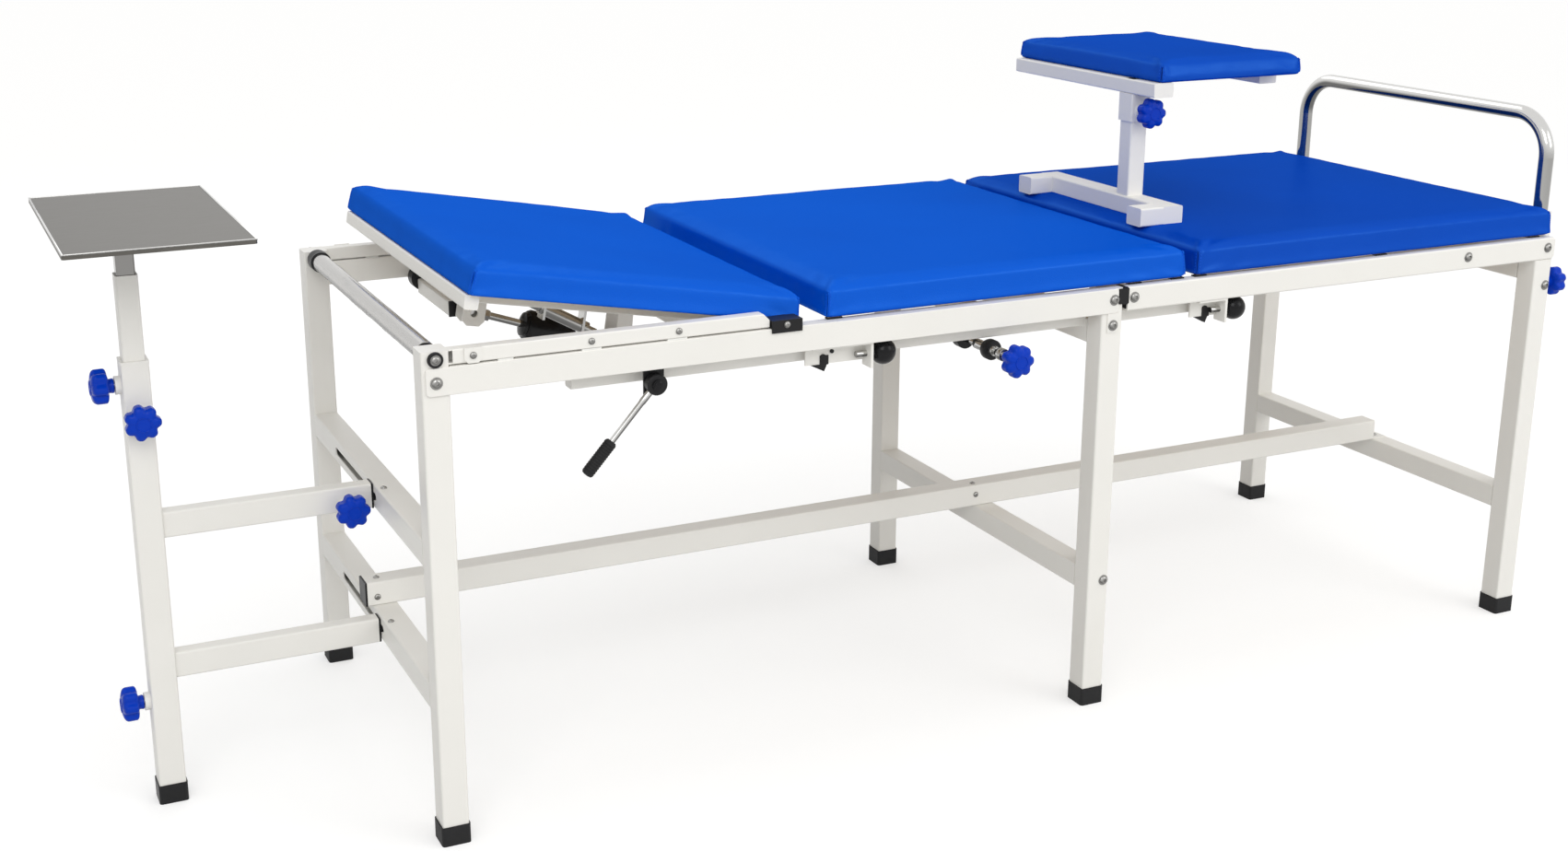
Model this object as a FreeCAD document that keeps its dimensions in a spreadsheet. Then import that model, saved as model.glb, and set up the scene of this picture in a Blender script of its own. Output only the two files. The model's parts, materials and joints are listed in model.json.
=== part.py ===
import FreeCAD, Part
import math
import os
import re
import Sketcher

# Traction table: a steel frame on six legs, two fixed pads, a tilting backrest with its strut,
# a removable stool, an end handle, and a stand with a tray that slides along the left cross bars.
# Millimetres, +Z up. The origin is the underside of the near left boot.

V = FreeCAD.Vector
doc = FreeCAD.newDocument("traction_table")
sheet = doc.addObject("Spreadsheet::Sheet", "Sizes")

SIZES = [
    ("tube", 38, "square frame tube, outside"),
    ("tube_wall", 2, "wall of the frame tube"),
    ("tube_round", 3, "outside corner of the tubes"),
    ("half_tube", "=tube / 2", "tube centre to tube face"),
    ("leg_span", 678, "near leg centre to far leg centre"),
    ("mid_plane", "=leg_span / 2", "middle of the table across"),
    ("inner_span", "=leg_span - tube", "length of a bar between two legs"),
    ("middle_leg", 1060, "left leg to middle leg"),
    ("right_leg", 1954, "left leg to right leg"),
    ("left_top", "=rail_base + 60", "top of the left legs"),
    ("sole", 3, "sole of a boot"),
    ("boot_wall", 1.6, "wall of a boot"),
    ("boot_gap", 0.2, "leg to boot, all round"),
    ("boot_top", 29, "top of a boot"),
    ("rail_high", 38, "height of the side rails"),
    ("rail_wide", 25, "width of the side rails"),
    ("rail_wall", 3, "wall of the side rails"),
    ("rail_base", 651, "underside of the side rails"),
    ("rail_top", "=rail_base + rail_high", "top of the side rails"),
    ("rail_level", "=rail_base + rail_high / 2", "middle height of the side rails"),
    ("rail_proud", 3, "lower rail in front of the legs"),
    ("lug_left", -14, "left end of the lower rail"),
    ("lug_right", "=middle_leg + 9", "right end of the lower rail"),
    ("lower_rail_y", "=rail_wide / 2 - half_tube - rail_proud", "middle of the lower rail"),
    ("right_rail_y", "=rail_wide / 2 - half_tube", "middle of the right rail"),
    ("right_rail_start", "=middle_leg + 28", "left end of the right rail"),
    ("right_rail_end", "=right_leg + half_tube", "right end of the right rail"),
    ("upper_tube", 20, "upper rail, square"),
    ("upper_level", "=left_top - upper_tube / 2", "middle height of the upper rail"),
    ("upper_end", "=hinge_x - 26", "right end of the upper rail"),
    ("upper_y", "=upper_tube / 2 - half_tube", "middle of the upper rail"),
    ("bar_low", 213, "middle height of the low cross bars"),
    ("bar_high", 422, "middle height of the upper left cross bar"),
    ("stretcher_left", -27, "left end of the long stretcher"),
    ("stretcher_right", "=right_leg - half_tube", "right end of the long stretcher"),
    ("slot_high", 12, "height of the slots for the stand"),
    ("slot_fit", 0.05, "slide to slot, each side"),
    ("pad_base", "=rail_top + 2", "underside of the pad boards"),
    ("board_thick", 6, "pad board"),
    ("cushion_base", "=pad_base + board_thick", "underside of the cushions"),
    ("pad_top", "=pad_base + 49", "top of the two fixed pads"),
    ("middle_pad_left", "=hinge_x + 66", "left side of the middle pad"),
    ("middle_pad_right", "=middle_leg + 144", "right side of the middle pad"),
    ("pad_gap", 16, "gap between the two fixed pads"),
    ("right_pad_right", "=right_leg + 21", "right side of the right pad"),
    ("board_inset", 8, "board inside the cushion, all round"),
    ("hinge_x", 506, "backrest hinge, from the left legs"),
    ("hinge_z", "=rail_base + 30", "backrest hinge, height"),
    ("tilt", 10.3, "backrest tilt as built, degrees"),
    ("pin_radius", 4, "hinge pin"),
    ("pin_fit", 0.05, "running fit of the pins, on the radius"),
    ("stud_radius", 5, "stud of the hand knobs"),
    ("foot_x", 430, "lower pivot of the strut"),
    ("foot_z", "=hinge_z - 126", "lower pivot of the strut, height"),
    ("strut_y", 450, "middle of the strut across"),
    ("eye_x", -303.6, "upper pivot of the strut, from the hinge, backrest flat"),
    ("eye_z", -96.8, "upper pivot of the strut, from the hinge, backrest flat"),
    ("barrel_radius", 20, "strut barrel"),
    ("sleeve_radius", 25, "sleeve round the strut barrel"),
    ("rod_radius", 6, "strut rod"),
    ("cross_tube", 25, "cross tubes under the pads, square"),
    ("cross_level", "=rail_base + 5", "middle height of the cross tubes"),
    ("clamp_x", "=middle_leg - 195", "cross tube with the clamp"),
    ("clamp_level", "=rail_base - 43", "height of the clamp rod"),
    ("clamp_near", 84, "near face of the clamp hanger"),
    ("side_x", 175, "short side tube"),
    ("side_near", "=leg_span - 200", "near end of the short side tube"),
    ("side_far", "=leg_span - 26", "far end of the short side tube"),
    ("inner_near", 22, "near face of the inner rails"),
    ("lock_radius", 10, "lock cylinder"),
    ("inner_wide", 25, "width of the inner rails"),
    ("inner_high", 19.5, "height of the inner rails"),
    ("inner_left", 200, "left end of the inner rails"),
    ("inner_right", "=middle_leg + 202", "right end of the inner rails"),
    ("pull_level", "=rail_base - 20", "height of the ball pulls"),
    ("lever_x", 312, "pivot of the release lever"),
    ("lever_level", "=rail_base - 24", "pivot of the release lever, height"),
    ("end_knob_level", "=rail_base - 44", "height of the end knob"),
    ("roller_level", "=left_top - 11", "height of the roller"),
    ("roller_radius", 14, "roller"),
    ("axle_radius", 5, "roller axle"),
    ("stand_x", -337, "column of the stand"),
    ("stand_y", 291, "stand, from the near leg line"),
    ("column_top", 660, "top of the column"),
    ("mast", 30, "mast tube, outside"),
    ("post", 25, "tray post, outside"),
    ("slide_fit", 0.05, "telescoping tubes, each side"),
    ("mast_top", 783, "top of the mast"),
    ("tray_base", 852, "underside of the tray"),
    ("tray_x", "=stand_x + 22", "middle of the tray"),
    ("tray_long", 424, "tray across the table"),
    ("tray_wide", 238, "tray along the table"),
    ("boss_radius", 13, "boss under a knob"),
    ("boss_high", 8, "boss under a knob"),
    ("seat_post", 32, "stool post"),
    ("stool_x", 1289, "stool post, from the left legs"),
    ("stool_y", 264, "stool post, from the near leg line"),
    ("stool_bar", 38, "tubes of the stool, width"),
    ("stool_bar_high", 30, "base tubes of the stool, height"),
    ("stool_base_level", "=pad_top + stool_bar_high / 2", "middle height of the base tubes"),
    ("stool_knob_level", "=pad_top + 172", "height of the stool knob"),
    ("seat_pad_x", "=stool_x + 135", "middle of the stool cushion"),
    ("seat_pad_y", "=stool_y + 130", "middle of the stool cushion"),
    ("seat_base", "=pad_top + 225", "underside of the stool cushion"),
    ("seat_thick", 36, "stool cushion"),
    ("handle_x", 1990, "end handle"),
    ("handle_y", 34, "end handle, near post"),
    ("handle_foot", "=rail_base + 39", "end handle, lower ends"),
    ("handle_top", "=rail_base + 237", "end handle, middle of the top bar"),
    ("handle_bend", 70, "end handle, bend"),
    ("handle_radius", 12.5, "end handle tube"),
]

for line, (alias, value, note) in enumerate(SIZES, start=1):
    sheet.set(f"A{line}", note)
    sheet.set(f"B{line}", str(value))
    sheet.setAlias(f"B{line}", alias)
doc.recompute()

NAMES = {alias for alias, _, _ in SIZES}
PLANES = {"x": "YZ_Plane", "y": "XZ_Plane", "z": "XY_Plane"}
UP, RIGHT, LEFT, NEAR, FAR = V(0, 0, 1), V(1, 0, 0), V(-1, 0, 0), V(0, -1, 0), V(0, 1, 0)
nodes = []


def val(alias):
    """One size of the sheet as a plain number"""
    return float(getattr(sheet, alias))


def link(text):
    """An expression in which the names of the sheet point to their cells"""
    return re.sub(r"[a-z][a-z_]*", lambda m: "Sizes." + m.group() if m.group() in NAMES else m.group(), str(text))


def new_body(name):
    body = doc.addObject("PartDesign::Body", name)
    body.Label = name
    return body


def sketch_on(body, axis, centre, start):
    """A sketch square to an axis, moved so that its own origin is the centre given"""
    plane = [item for item in body.Origin.OriginFeatures if item.Role == PLANES[axis]][0]
    sketch = body.newObject("Sketcher::SketchObject", "Profile")
    sketch.AttachmentSupport = [(plane, "")]
    sketch.MapMode = "FlatFace"
    sign = "-1" if axis == "y" else "1"
    sketch.setExpression("AttachmentOffset.Base.x", link(centre[0]))
    sketch.setExpression("AttachmentOffset.Base.y", link(centre[1]))
    sketch.setExpression("AttachmentOffset.Base.z", link(f"{sign} * ({start})"))
    return sketch


def grow(body, axis, sketch, length, cut):
    """Pad or pocket a sketch towards the positive end of its axis"""
    feature = body.newObject("PartDesign::Pocket" if cut else "PartDesign::Pad", "Cut" if cut else "Block")
    feature.Profile = sketch
    feature.Reversed = (axis != "y") if cut else (axis == "y")
    feature.setExpression("Length", link(length))
    sketch.Visibility = False
    return feature


def box(body, axis, centre, size, start, length, cut=False):
    """A rectangular block, or a cut of that form"""
    sketch = sketch_on(body, axis, centre, start)
    corners = [V(-1, -1, 0), V(1, -1, 0), V(1, 1, 0), V(-1, 1, 0)]
    for i in range(4):
        sketch.addGeometry(Part.LineSegment(corners[i], corners[(i + 1) % 4]), False)
    for i in range(4):
        sketch.addConstraint(Sketcher.Constraint("Coincident", i, 2, (i + 1) % 4, 1))
        sketch.addConstraint(Sketcher.Constraint("Vertical" if i % 2 else "Horizontal", i))
    sketch.addConstraint(Sketcher.Constraint("Symmetric", 0, 1, 1, 2, -1, 1))
    for word, name, edge, extent in (("DistanceX", "wide", 0, size[0]), ("DistanceY", "high", 1, size[1])):
        number = sketch.addConstraint(Sketcher.Constraint(word, edge, 1, edge, 2, 2.0))
        sketch.renameConstraint(number, name)
        sketch.setExpression("Constraints." + name, link(extent))
    return grow(body, axis, sketch, length, cut)


def disc(body, axis, centre, radius, start, length, cut=False):
    """A round block, or a round hole"""
    sketch = sketch_on(body, axis, centre, start)
    sketch.addGeometry(Part.Circle(V(), UP, 1), False)
    sketch.addConstraint(Sketcher.Constraint("Coincident", 0, 3, -1, 1))
    number = sketch.addConstraint(Sketcher.Constraint("Radius", 0, 1.0))
    sketch.renameConstraint(number, "radius")
    sketch.setExpression("Constraints.radius", link(radius))
    return grow(body, axis, sketch, length, cut)


def outline(sketch, points):
    """Close a chain of straight lines through the points"""
    for i, point in enumerate(points):
        following = points[(i + 1) % len(points)]
        sketch.addGeometry(Part.LineSegment(V(*point, 0), V(*following, 0)), False)
    for i in range(len(points)):
        sketch.addConstraint(Sketcher.Constraint("Coincident", i, 2, (i + 1) % len(points), 1))
        sketch.addConstraint(Sketcher.Constraint("Block", i))


def plate(body, axis, points, start, length, cut=False):
    """A plate with a straight-sided outline"""
    sketch = sketch_on(body, axis, (0, 0), start)
    outline(sketch, points)
    return grow(body, axis, sketch, length, cut)


def turned(body, points):
    """A turned piece: an outline of radius and height, turned about Z"""
    sketch = sketch_on(body, "y", (0, 0), 0)
    outline(sketch, points)
    feature = body.newObject("PartDesign::Revolution", "Turned")
    feature.Profile = sketch
    feature.ReferenceAxis = (sketch, ["V_Axis"])
    feature.Angle = 360
    sketch.Visibility = False
    return feature


def long_edges(axis, keep=None):
    """A test for the straight edges along an axis whose middle point is wanted"""
    def test(edge):
        ends = [vertex.Point for vertex in edge.Vertexes]
        if len(ends) != 2:
            return False
        run = ends[1] - ends[0]
        middle = (ends[0] + ends[1]) * 0.5
        along = abs(getattr(run, axis)) > 0.999 * run.Length
        return along and (keep is None or keep(middle))
    return test


def soften(body, feature, radius, test, word="Fillet"):
    """Round or bevel the edges that pass the test"""
    doc.recompute()
    chosen = [f"Edge{i}" for i, edge in enumerate(feature.Shape.Edges, start=1) if test(edge)]
    result = body.newObject("PartDesign::" + word, word)
    result.Base = (feature, chosen)
    result.setExpression("Radius" if word == "Fillet" else "Size", link(radius))
    return result


def tube(name, axis, centre, size, start, length, wall="tube_wall", shut=0, caps=0):
    """Rectangular tube with rounded long edges; shut closes its far end, caps closes both"""
    body = new_body(name)
    block = box(body, axis, centre, size, start, length)
    soften(body, block, "tube_round", long_edges(axis))
    bore = [f"({side}) - 2 * ({wall})" for side in size]
    box(body, axis, centre, bore, start, f"({length}) - ({shut})", cut=True)
    if caps:
        box(body, axis, centre, bore, start, caps)
        box(body, axis, centre, bore, f"({start}) + ({length}) - ({caps})", caps)
    return body


def place(item, x=0, y=0, z=0):
    """Set the placement from the sheet"""
    for letter, amount in (("x", x), ("y", y), ("z", z)):
        item.setExpression("Placement.Base." + letter, link(amount))
    return item


def aim(item, spot, direction):
    """Turn a piece from +Z to a direction and set its origin at a spot"""
    item.Placement = FreeCAD.Placement(V(*spot), FreeCAD.Rotation(UP, direction))
    return item


def far_copy(item):
    """The same piece mirrored to the far side of the table"""
    mirror = doc.addObject("Part::Mirroring", item.Name + "_far")
    mirror.Source = item
    mirror.Normal = FAR
    mirror.setExpression("Base.y", link("mid_plane"))
    return mirror


def node(name, *items):
    """One named sub-part: a single piece, or several solids that share a name"""
    if len(items) == 1:
        result = items[0]
    else:
        result = doc.addObject("Part::Compound", name)
        result.Links = list(items)
    result.Label = name
    nodes.append(result)
    return result


def pair(name, *items):
    """A sub-part that stands on both sides of the table"""
    return node(name, *items, *[far_copy(item) for item in items])


def scatter(name, master, spots):
    """Equal pieces set at many spots, each turned from +Z to its direction"""
    doc.recompute()
    copies = []
    for spot, direction in spots:
        copy = master.Shape.copy()
        copy.Placement = FreeCAD.Placement(V(*spot), FreeCAD.Rotation(UP, direction))
        copies.append(copy)
    result = doc.addObject("Part::Feature", name)
    result.Shape = Part.makeCompound(copies)
    return node(name, result)


def both_sides(spots):
    """Spots on the near side with outward direction, and the same on the far side"""
    mirrored = [((x, 2 * val("mid_plane") - y, z), V(way.x, -way.y, way.z)) for (x, y, z), way in spots]
    return list(spots) + mirrored


def fastener(name, head, high, shank, depth):
    """Round-head screw: its seat is at z = 0 and the shank points down"""
    body = new_body(name)
    bevel = high / 3
    turned(body, [(0, -depth), (shank, -depth), (shank, 0), (head, 0),
                  (head, high - bevel), (head - bevel, high), (0, high)])
    return body


# Places of the fasteners on the near side

BOLT_HEAD, BOLT_HIGH, BOLT_SHANK, BOLT_DEPTH = 7.0, 4.0, 4.0, 12.0
SCREW_HEAD, SCREW_HIGH, SCREW_SHANK, SCREW_DEPTH = 4.5, 2.2, 2.0, 7.0
HOLE_GAP = 0.2
bolt_hole = BOLT_SHANK + HOLE_GAP
screw_hole = SCREW_SHANK + HOLE_GAP
leg_face = -val("half_tube")
lug_face = leg_face - val("rail_proud")
strap_thick = 2.0
rail_bolt_level = val("rail_base") + 18
LUG_BOLT = (val("middle_leg") + 1, val("rail_base") + 21)
STRAP_BOLT = (val("middle_leg") + 1, val("rail_base") - 19)
LOW_BOLT = (val("middle_leg") + 10, val("bar_low"))
LEG_BOLT = (val("right_leg") + 9, val("rail_base") - 45)
RIGHT_RAIL_BOLTS = (val("right_rail_start") + 12, val("right_leg") - 175, val("right_leg") + 6)
BAR_SCREW = (-10.0, val("stand_y") - 39)
STRETCHER_SCREWS = ((-8.0, val("mid_plane")), (val("middle_leg") - 20, val("mid_plane") - 8))
STRETCHER_SIDE_SCREWS = ((-12.0, val("bar_low") + 33), (val("middle_leg") - 19, val("bar_low") + 40))
UPPER_SCREWS = (216.0, 343.0)
ARM_KNOB = (-57.0, val("bar_high") - 9)
CLIP_X = 51.0
CLIP_THICK = 2.5


def legs():
    """Six legs of square tube with their boots"""
    left = tube("left_leg", "z", (0, 0), ("tube", "tube"), "sole", "left_top - sole", shut="tube_wall")
    disc(left, "y", (0, rail_bolt_level), bolt_hole, leg_face, "tube_wall", cut=True)
    disc(left, "y", (0, "roller_level"), "axle_radius + boot_gap", leg_face, "tube", cut=True)
    middle = tube("middle_leg_tube", "z", (0, 0), ("tube", "tube"), "sole", "rail_top - sole", shut="tube_wall")
    for x, z in (LUG_BOLT, STRAP_BOLT, LOW_BOLT):
        disc(middle, "y", (x - val("middle_leg"), z), bolt_hole, leg_face, "tube_wall", cut=True)
    ends = []
    for name in ("right_leg_near", "right_leg_plain"):
        right = tube(name, "z", (0, 0), ("tube", "tube"), "sole", "rail_base - sole", shut="tube_wall")
        disc(right, "y", (LEG_BOLT[0] - val("right_leg"), LEG_BOLT[1]), bolt_hole, leg_face, "tube_wall", cut=True)
        ends.append(place(right, "right_leg"))
    disc(ends[0], "x", (0, "end_knob_level"), "stud_radius + pin_fit", "half_tube - tube_wall", "tube_wall", cut=True)
    pair("left_legs", left)
    pair("middle_legs", place(middle, "middle_leg"))
    node("right_legs", ends[0], far_copy(ends[1]))


def boot(name):
    body = new_body(name)
    outside = "tube + 2 * (boot_gap + boot_wall)"
    cup = box(body, "z", (0, 0), (outside, outside), 0, "boot_top")
    soften(body, cup, "tube_round + boot_gap + boot_wall", long_edges("z"))
    inside = "tube + 2 * boot_gap"
    box(body, "z", (0, 0), (inside, inside), "sole", "boot_top - sole", cut=True)
    return body


def boots():
    master = boot("boot_master")
    spots = [((x, 0, 0), UP) for x in (0, val("middle_leg"), val("right_leg"))]
    scatter("leg_boots", master, both_sides(spots))


def slotted_bar(name, level):
    """Left cross bar with the long slot in which the stand slides"""
    bar = tube(name, "y", (0, level), ("tube", "tube"), "half_tube", "inner_span")
    first, last = val("stand_y") - 20, val("stand_y") + 220
    box(bar, "x", ((first + last) / 2, level), (last - first, "slot_high"), leg_face, "tube_wall", cut=True)
    for end in (first, last):
        disc(bar, "x", (end, level), "slot_high / 2", leg_face, "tube_wall", cut=True)
    disc(bar, "z", BAR_SCREW, screw_hole, f"{level} + half_tube - tube_wall", "tube_wall", cut=True)
    return bar


def cross_bars():
    size = ("tube", "tube")
    node("left_crossbars", slotted_bar("left_upper_bar", "bar_high"), slotted_bar("left_lower_bar", "bar_low"))
    middle = tube("middle_bar", "y", ("middle_leg", "bar_low"), size, "half_tube", "inner_span")
    right = tube("right_bar", "y", ("right_leg", "bar_low"), size, "half_tube", "inner_span")
    disc(right, "z", ("right_leg", "mid_plane"), screw_hole, "bar_low + half_tube - tube_wall",
         "tube_wall", cut=True)
    node("crossbars", middle, right)
    middle_beam = tube("middle_beam", "y", ("middle_leg", "rail_base - 34"), size, "half_tube", "inner_span")
    right_beam = tube("right_beam", "y", ("right_leg", "rail_base - half_tube"), size, "half_tube", "inner_span")
    node("top_beams", middle_beam, right_beam)


def stretcher():
    """The long tube over the low cross bars, with a tongue at its right end"""
    level = "bar_low + tube"
    length = "stretcher_right - stretcher_left"
    bar = tube("stretcher", "x", ("mid_plane", level), ("tube", "tube"), "stretcher_left", length)
    box(bar, "x", ("mid_plane", "bar_low + half_tube + tube_wall / 2"), ("tube - 2 * tube_round", "tube_wall"),
        "stretcher_right - tube_wall", "half_tube + 16")
    disc(bar, "z", ("right_leg", "mid_plane"), screw_hole, "bar_low + half_tube", "tube_wall", cut=True)
    for spot in STRETCHER_SCREWS:
        disc(bar, "z", spot, screw_hole, "bar_low + 3 * half_tube - tube_wall", "tube_wall", cut=True)
    for spot in STRETCHER_SIDE_SCREWS:
        disc(bar, "y", spot, screw_hole, "mid_plane - half_tube", "tube_wall", cut=True)
    node("long_stretcher", bar)
    plug = new_body("stretcher_plug")
    box(plug, "x", ("mid_plane", level), ("tube - 1", "tube - 1"), "stretcher_left - 3", 3)
    spigot = "tube - 2 * tube_wall - 0.4"
    box(plug, "x", ("mid_plane", level), (spigot, spigot), "stretcher_left", 6)
    cap = new_body("side_tube_plug")
    at = ("side_x", "rail_base - 11")
    box(cap, "y", at, ("cross_tube", "cross_tube"), "side_near - 3", 3)
    box(cap, "y", at, ("cross_tube - 4.4", "cross_tube - 4.4"), "side_near", 8)
    node("end_plugs", plug, cap)


def rails():
    """Lower, upper and right side rails with the blocks, clips, tabs and straps that join them"""
    size = ("rail_wide", "rail_high")
    lower = new_body("lower_rail")
    box(lower, "x", ("lower_rail_y", "rail_level"), size, "half_tube + 1", "middle_leg - tube - 2")
    skin = box(lower, "x", (f"{lug_face} + rail_proud / 2", "rail_level"), ("rail_proud", "rail_high"),
               "lug_left", "lug_right - lug_left")
    inner = long_edges("x", lambda p: p.y > 0)
    rounded = soften(lower, skin, 3, inner)
    ends = soften(lower, rounded, 6, long_edges("y", lambda p: p.x < 0 or p.x > val("lug_right") - 1))
    soften(lower, ends, 1.2, long_edges("x", lambda p: p.y < lug_face + 0.1))
    box(lower, "x", ("lower_rail_y", "rail_level"), ("rail_wide - 2 * rail_wall", "rail_high - 2 * rail_wall"),
        "half_tube + 1", "middle_leg - tube - 2", cut=True)
    for x, z in ((0, rail_bolt_level), LUG_BOLT):
        disc(lower, "y", (x, z), bolt_hole, lug_face, "rail_proud", cut=True)
    pair("lower_rails", lower)

    right = tube("right_rail", "x", ("right_rail_y", "rail_level"), size, "right_rail_start",
                 "right_rail_end - right_rail_start", wall="rail_wall")
    for x in RIGHT_RAIL_BOLTS:
        disc(right, "y", (x, LUG_BOLT[1]), bolt_hole, leg_face, "rail_wall", cut=True)
    pair("right_rails", right)

    joint = new_body("rail_joint")
    block_left = val("middle_leg") + val("half_tube")
    box(joint, "x", ("right_rail_y", "rail_base + 24.5"), ("rail_wide", 27), block_left, f"right_rail_start - {block_left}")
    box(joint, "x", ("right_rail_y", "rail_level"), ("rail_wide - 2 * rail_wall - 0.4",
        "rail_high - 2 * rail_wall - 0.4"), "right_rail_start - 1", 8)
    box(joint, "x", (f"{leg_face} - 1.25", "rail_base + 25"), (2.5, 24), "lug_right + 1.5",
        "right_rail_start - lug_right - 1.5")
    pair("rail_joint_blocks", joint)

    upper = new_body("upper_rail")
    block = box(upper, "x", ("upper_y", "upper_level"), ("upper_tube", "upper_tube"), "half_tube",
                "upper_end - half_tube")
    edges = long_edges("y", lambda p: p.x > val("upper_end") - 1 and p.z > val("upper_level"))
    bevel = soften(upper, block, 9, edges, word="Chamfer")
    soften(upper, bevel, 2, long_edges("x"))
    box(upper, "x", ("upper_y", "upper_level"), ("upper_tube - 4", "upper_tube - 4"), "half_tube",
        "upper_end - half_tube - 13", cut=True)
    box(upper, "x", (f"{leg_face} + 1", "upper_level"), (2, "upper_tube"), "half_tube", 5, cut=True)
    for x in UPPER_SCREWS + (CLIP_X,):
        disc(upper, "y", (x, "upper_level"), screw_hole, leg_face, 2, cut=True)
    pair("upper_rails", upper)

    clip = new_body("rail_clip")
    sheet_face = box(clip, "y", (CLIP_X, "upper_level"), (24, 21), leg_face - CLIP_THICK, CLIP_THICK)
    soften(clip, sheet_face, 5, long_edges("y", lambda p: p.z < val("upper_level")), word="Chamfer")
    disc(clip, "y", (CLIP_X, "upper_level"), screw_hole, leg_face - CLIP_THICK, CLIP_THICK, cut=True)
    strap = new_body("tie_strap")
    box(strap, "y", (STRAP_BOLT[0], "rail_base - 15"), (20, 30), leg_face - strap_thick, strap_thick)
    disc(strap, "y", STRAP_BOLT, bolt_hole, leg_face - strap_thick, strap_thick, cut=True)
    pair("rail_plates", clip, strap)

    tabs = []
    for first, last in ((85, 106), (202, 230), (326, 355)):
        tab = new_body("rail_tab")
        box(tab, "x", (-10, "rail_top + 1"), (18, 2), first, last - first)
        tabs.append(tab)
    pair("rail_spacers", *tabs)


def frame_fasteners():
    bolt = fastener("bolt_master", BOLT_HEAD, BOLT_HIGH, BOLT_SHANK, BOLT_DEPTH)
    near = [((0, lug_face, rail_bolt_level), NEAR), ((LUG_BOLT[0], lug_face, LUG_BOLT[1]), NEAR),
            ((STRAP_BOLT[0], leg_face - strap_thick, STRAP_BOLT[1]), NEAR),
            ((LOW_BOLT[0], leg_face, LOW_BOLT[1]), NEAR), ((LEG_BOLT[0], leg_face, LEG_BOLT[1]), NEAR)]
    near += [((x, leg_face, LUG_BOLT[1]), NEAR) for x in RIGHT_RAIL_BOLTS]
    scatter("frame_bolts", bolt, both_sides(near))
    screw = fastener("screw_master", SCREW_HEAD, SCREW_HIGH, SCREW_SHANK, SCREW_DEPTH)
    near = [((CLIP_X, leg_face - CLIP_THICK, val("upper_level")), NEAR)]
    near += [((x, leg_face, val("upper_level")), NEAR) for x in UPPER_SCREWS]
    bar_top = val("bar_low") + val("half_tube")
    stretcher_top = bar_top + val("tube")
    stretcher_face = val("mid_plane") - val("half_tube")
    single = [((*BAR_SCREW, bar_top), UP), ((*BAR_SCREW, val("bar_high") + val("half_tube")), UP),
              ((val("right_leg"), val("mid_plane"), bar_top + val("tube_wall")), UP)]
    single += [((x, y, stretcher_top), UP) for x, y in STRETCHER_SCREWS]
    single += [((x, stretcher_face, z), NEAR) for x, z in STRETCHER_SIDE_SCREWS]
    scatter("frame_screws", screw, both_sides(near) + single)


def roller():
    """Roller between the left legs, turning freely on a fixed axle"""
    axle = new_body("roller_axle")
    disc(axle, "y", (0, "roller_level"), "axle_radius", leg_face - 1, "tube + leg_span + 2")
    for start in (leg_face - 4, "leg_span + half_tube"):
        disc(axle, "y", (0, "roller_level"), 8.5, start, 4)
    node("roller_axle", axle)
    shell = new_body("roller_tube")
    disc(shell, "y", (0, "roller_level"), "roller_radius", 24, "leg_span - 48")
    disc(shell, "y", (0, "roller_level"), "roller_radius - 2", 24, "leg_span - 48", cut=True)
    node("roller_tube", shell)
    bushes = []
    for start in (23, "leg_span - 35"):
        bush = new_body("roller_bush")
        disc(bush, "y", (0, "roller_level"), "roller_radius - 2", start, 12)
        disc(bush, "y", (0, "roller_level"), "axle_radius + pin_fit", start, 12, cut=True)
        bushes.append(bush)
    node("roller_bushes", *bushes)


def cushion_on(name, at, size, base, board_top, top):
    """Cushion with round edges whose cover comes down round its board"""
    body = new_body(name)
    block = box(body, "z", at, size, base, f"{top} - ({base})")
    sides = soften(body, block, 8, long_edges("z"))
    doc.recompute()
    limit = max(vertex.Z for vertex in sides.Shape.Vertexes) - 0.1
    soften(body, sides, 6, lambda edge: min(vertex.Z for vertex in edge.Vertexes) > limit)
    if board_top != base:
        inside = [f"({side}) - 2 * board_inset" for side in size]
        box(body, "z", at, inside, base, f"({board_top}) - ({base})", cut=True)
    return body


def pads():
    """Boards, cushions and feet of the two fixed pads"""
    boards = []
    for name, first, last in (("middle", "middle_pad_left", "middle_pad_right"),
                              ("right", "middle_pad_right + pad_gap", "right_pad_right")):
        at = (f"({first} + {last}) / 2", "mid_plane")
        size = (f"{last} - ({first})", "leg_span + 22")
        board = new_body(name + "_board")
        box(board, "z", at, [f"({side}) - 2 * board_inset" for side in size], "pad_base", "board_thick")
        boards.append(board)
        node(name + "_cushion", cushion_on(name + "_cushion", at, size, "pad_base", "cushion_base", "pad_top"))
    node("fixed_boards", *boards)
    feet = []
    for x in ("middle_pad_left + 18", "middle_leg + 50", "middle_pad_right - 14", "middle_pad_right + 30",
              "right_leg - 354", "right_leg - 14"):
        foot = new_body("pad_foot")
        box(foot, "z", (x, -1.5), (24, 9), "rail_top", "pad_base - rail_top")
        feet.append(foot)
    pair("pad_feet", *feet)


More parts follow.
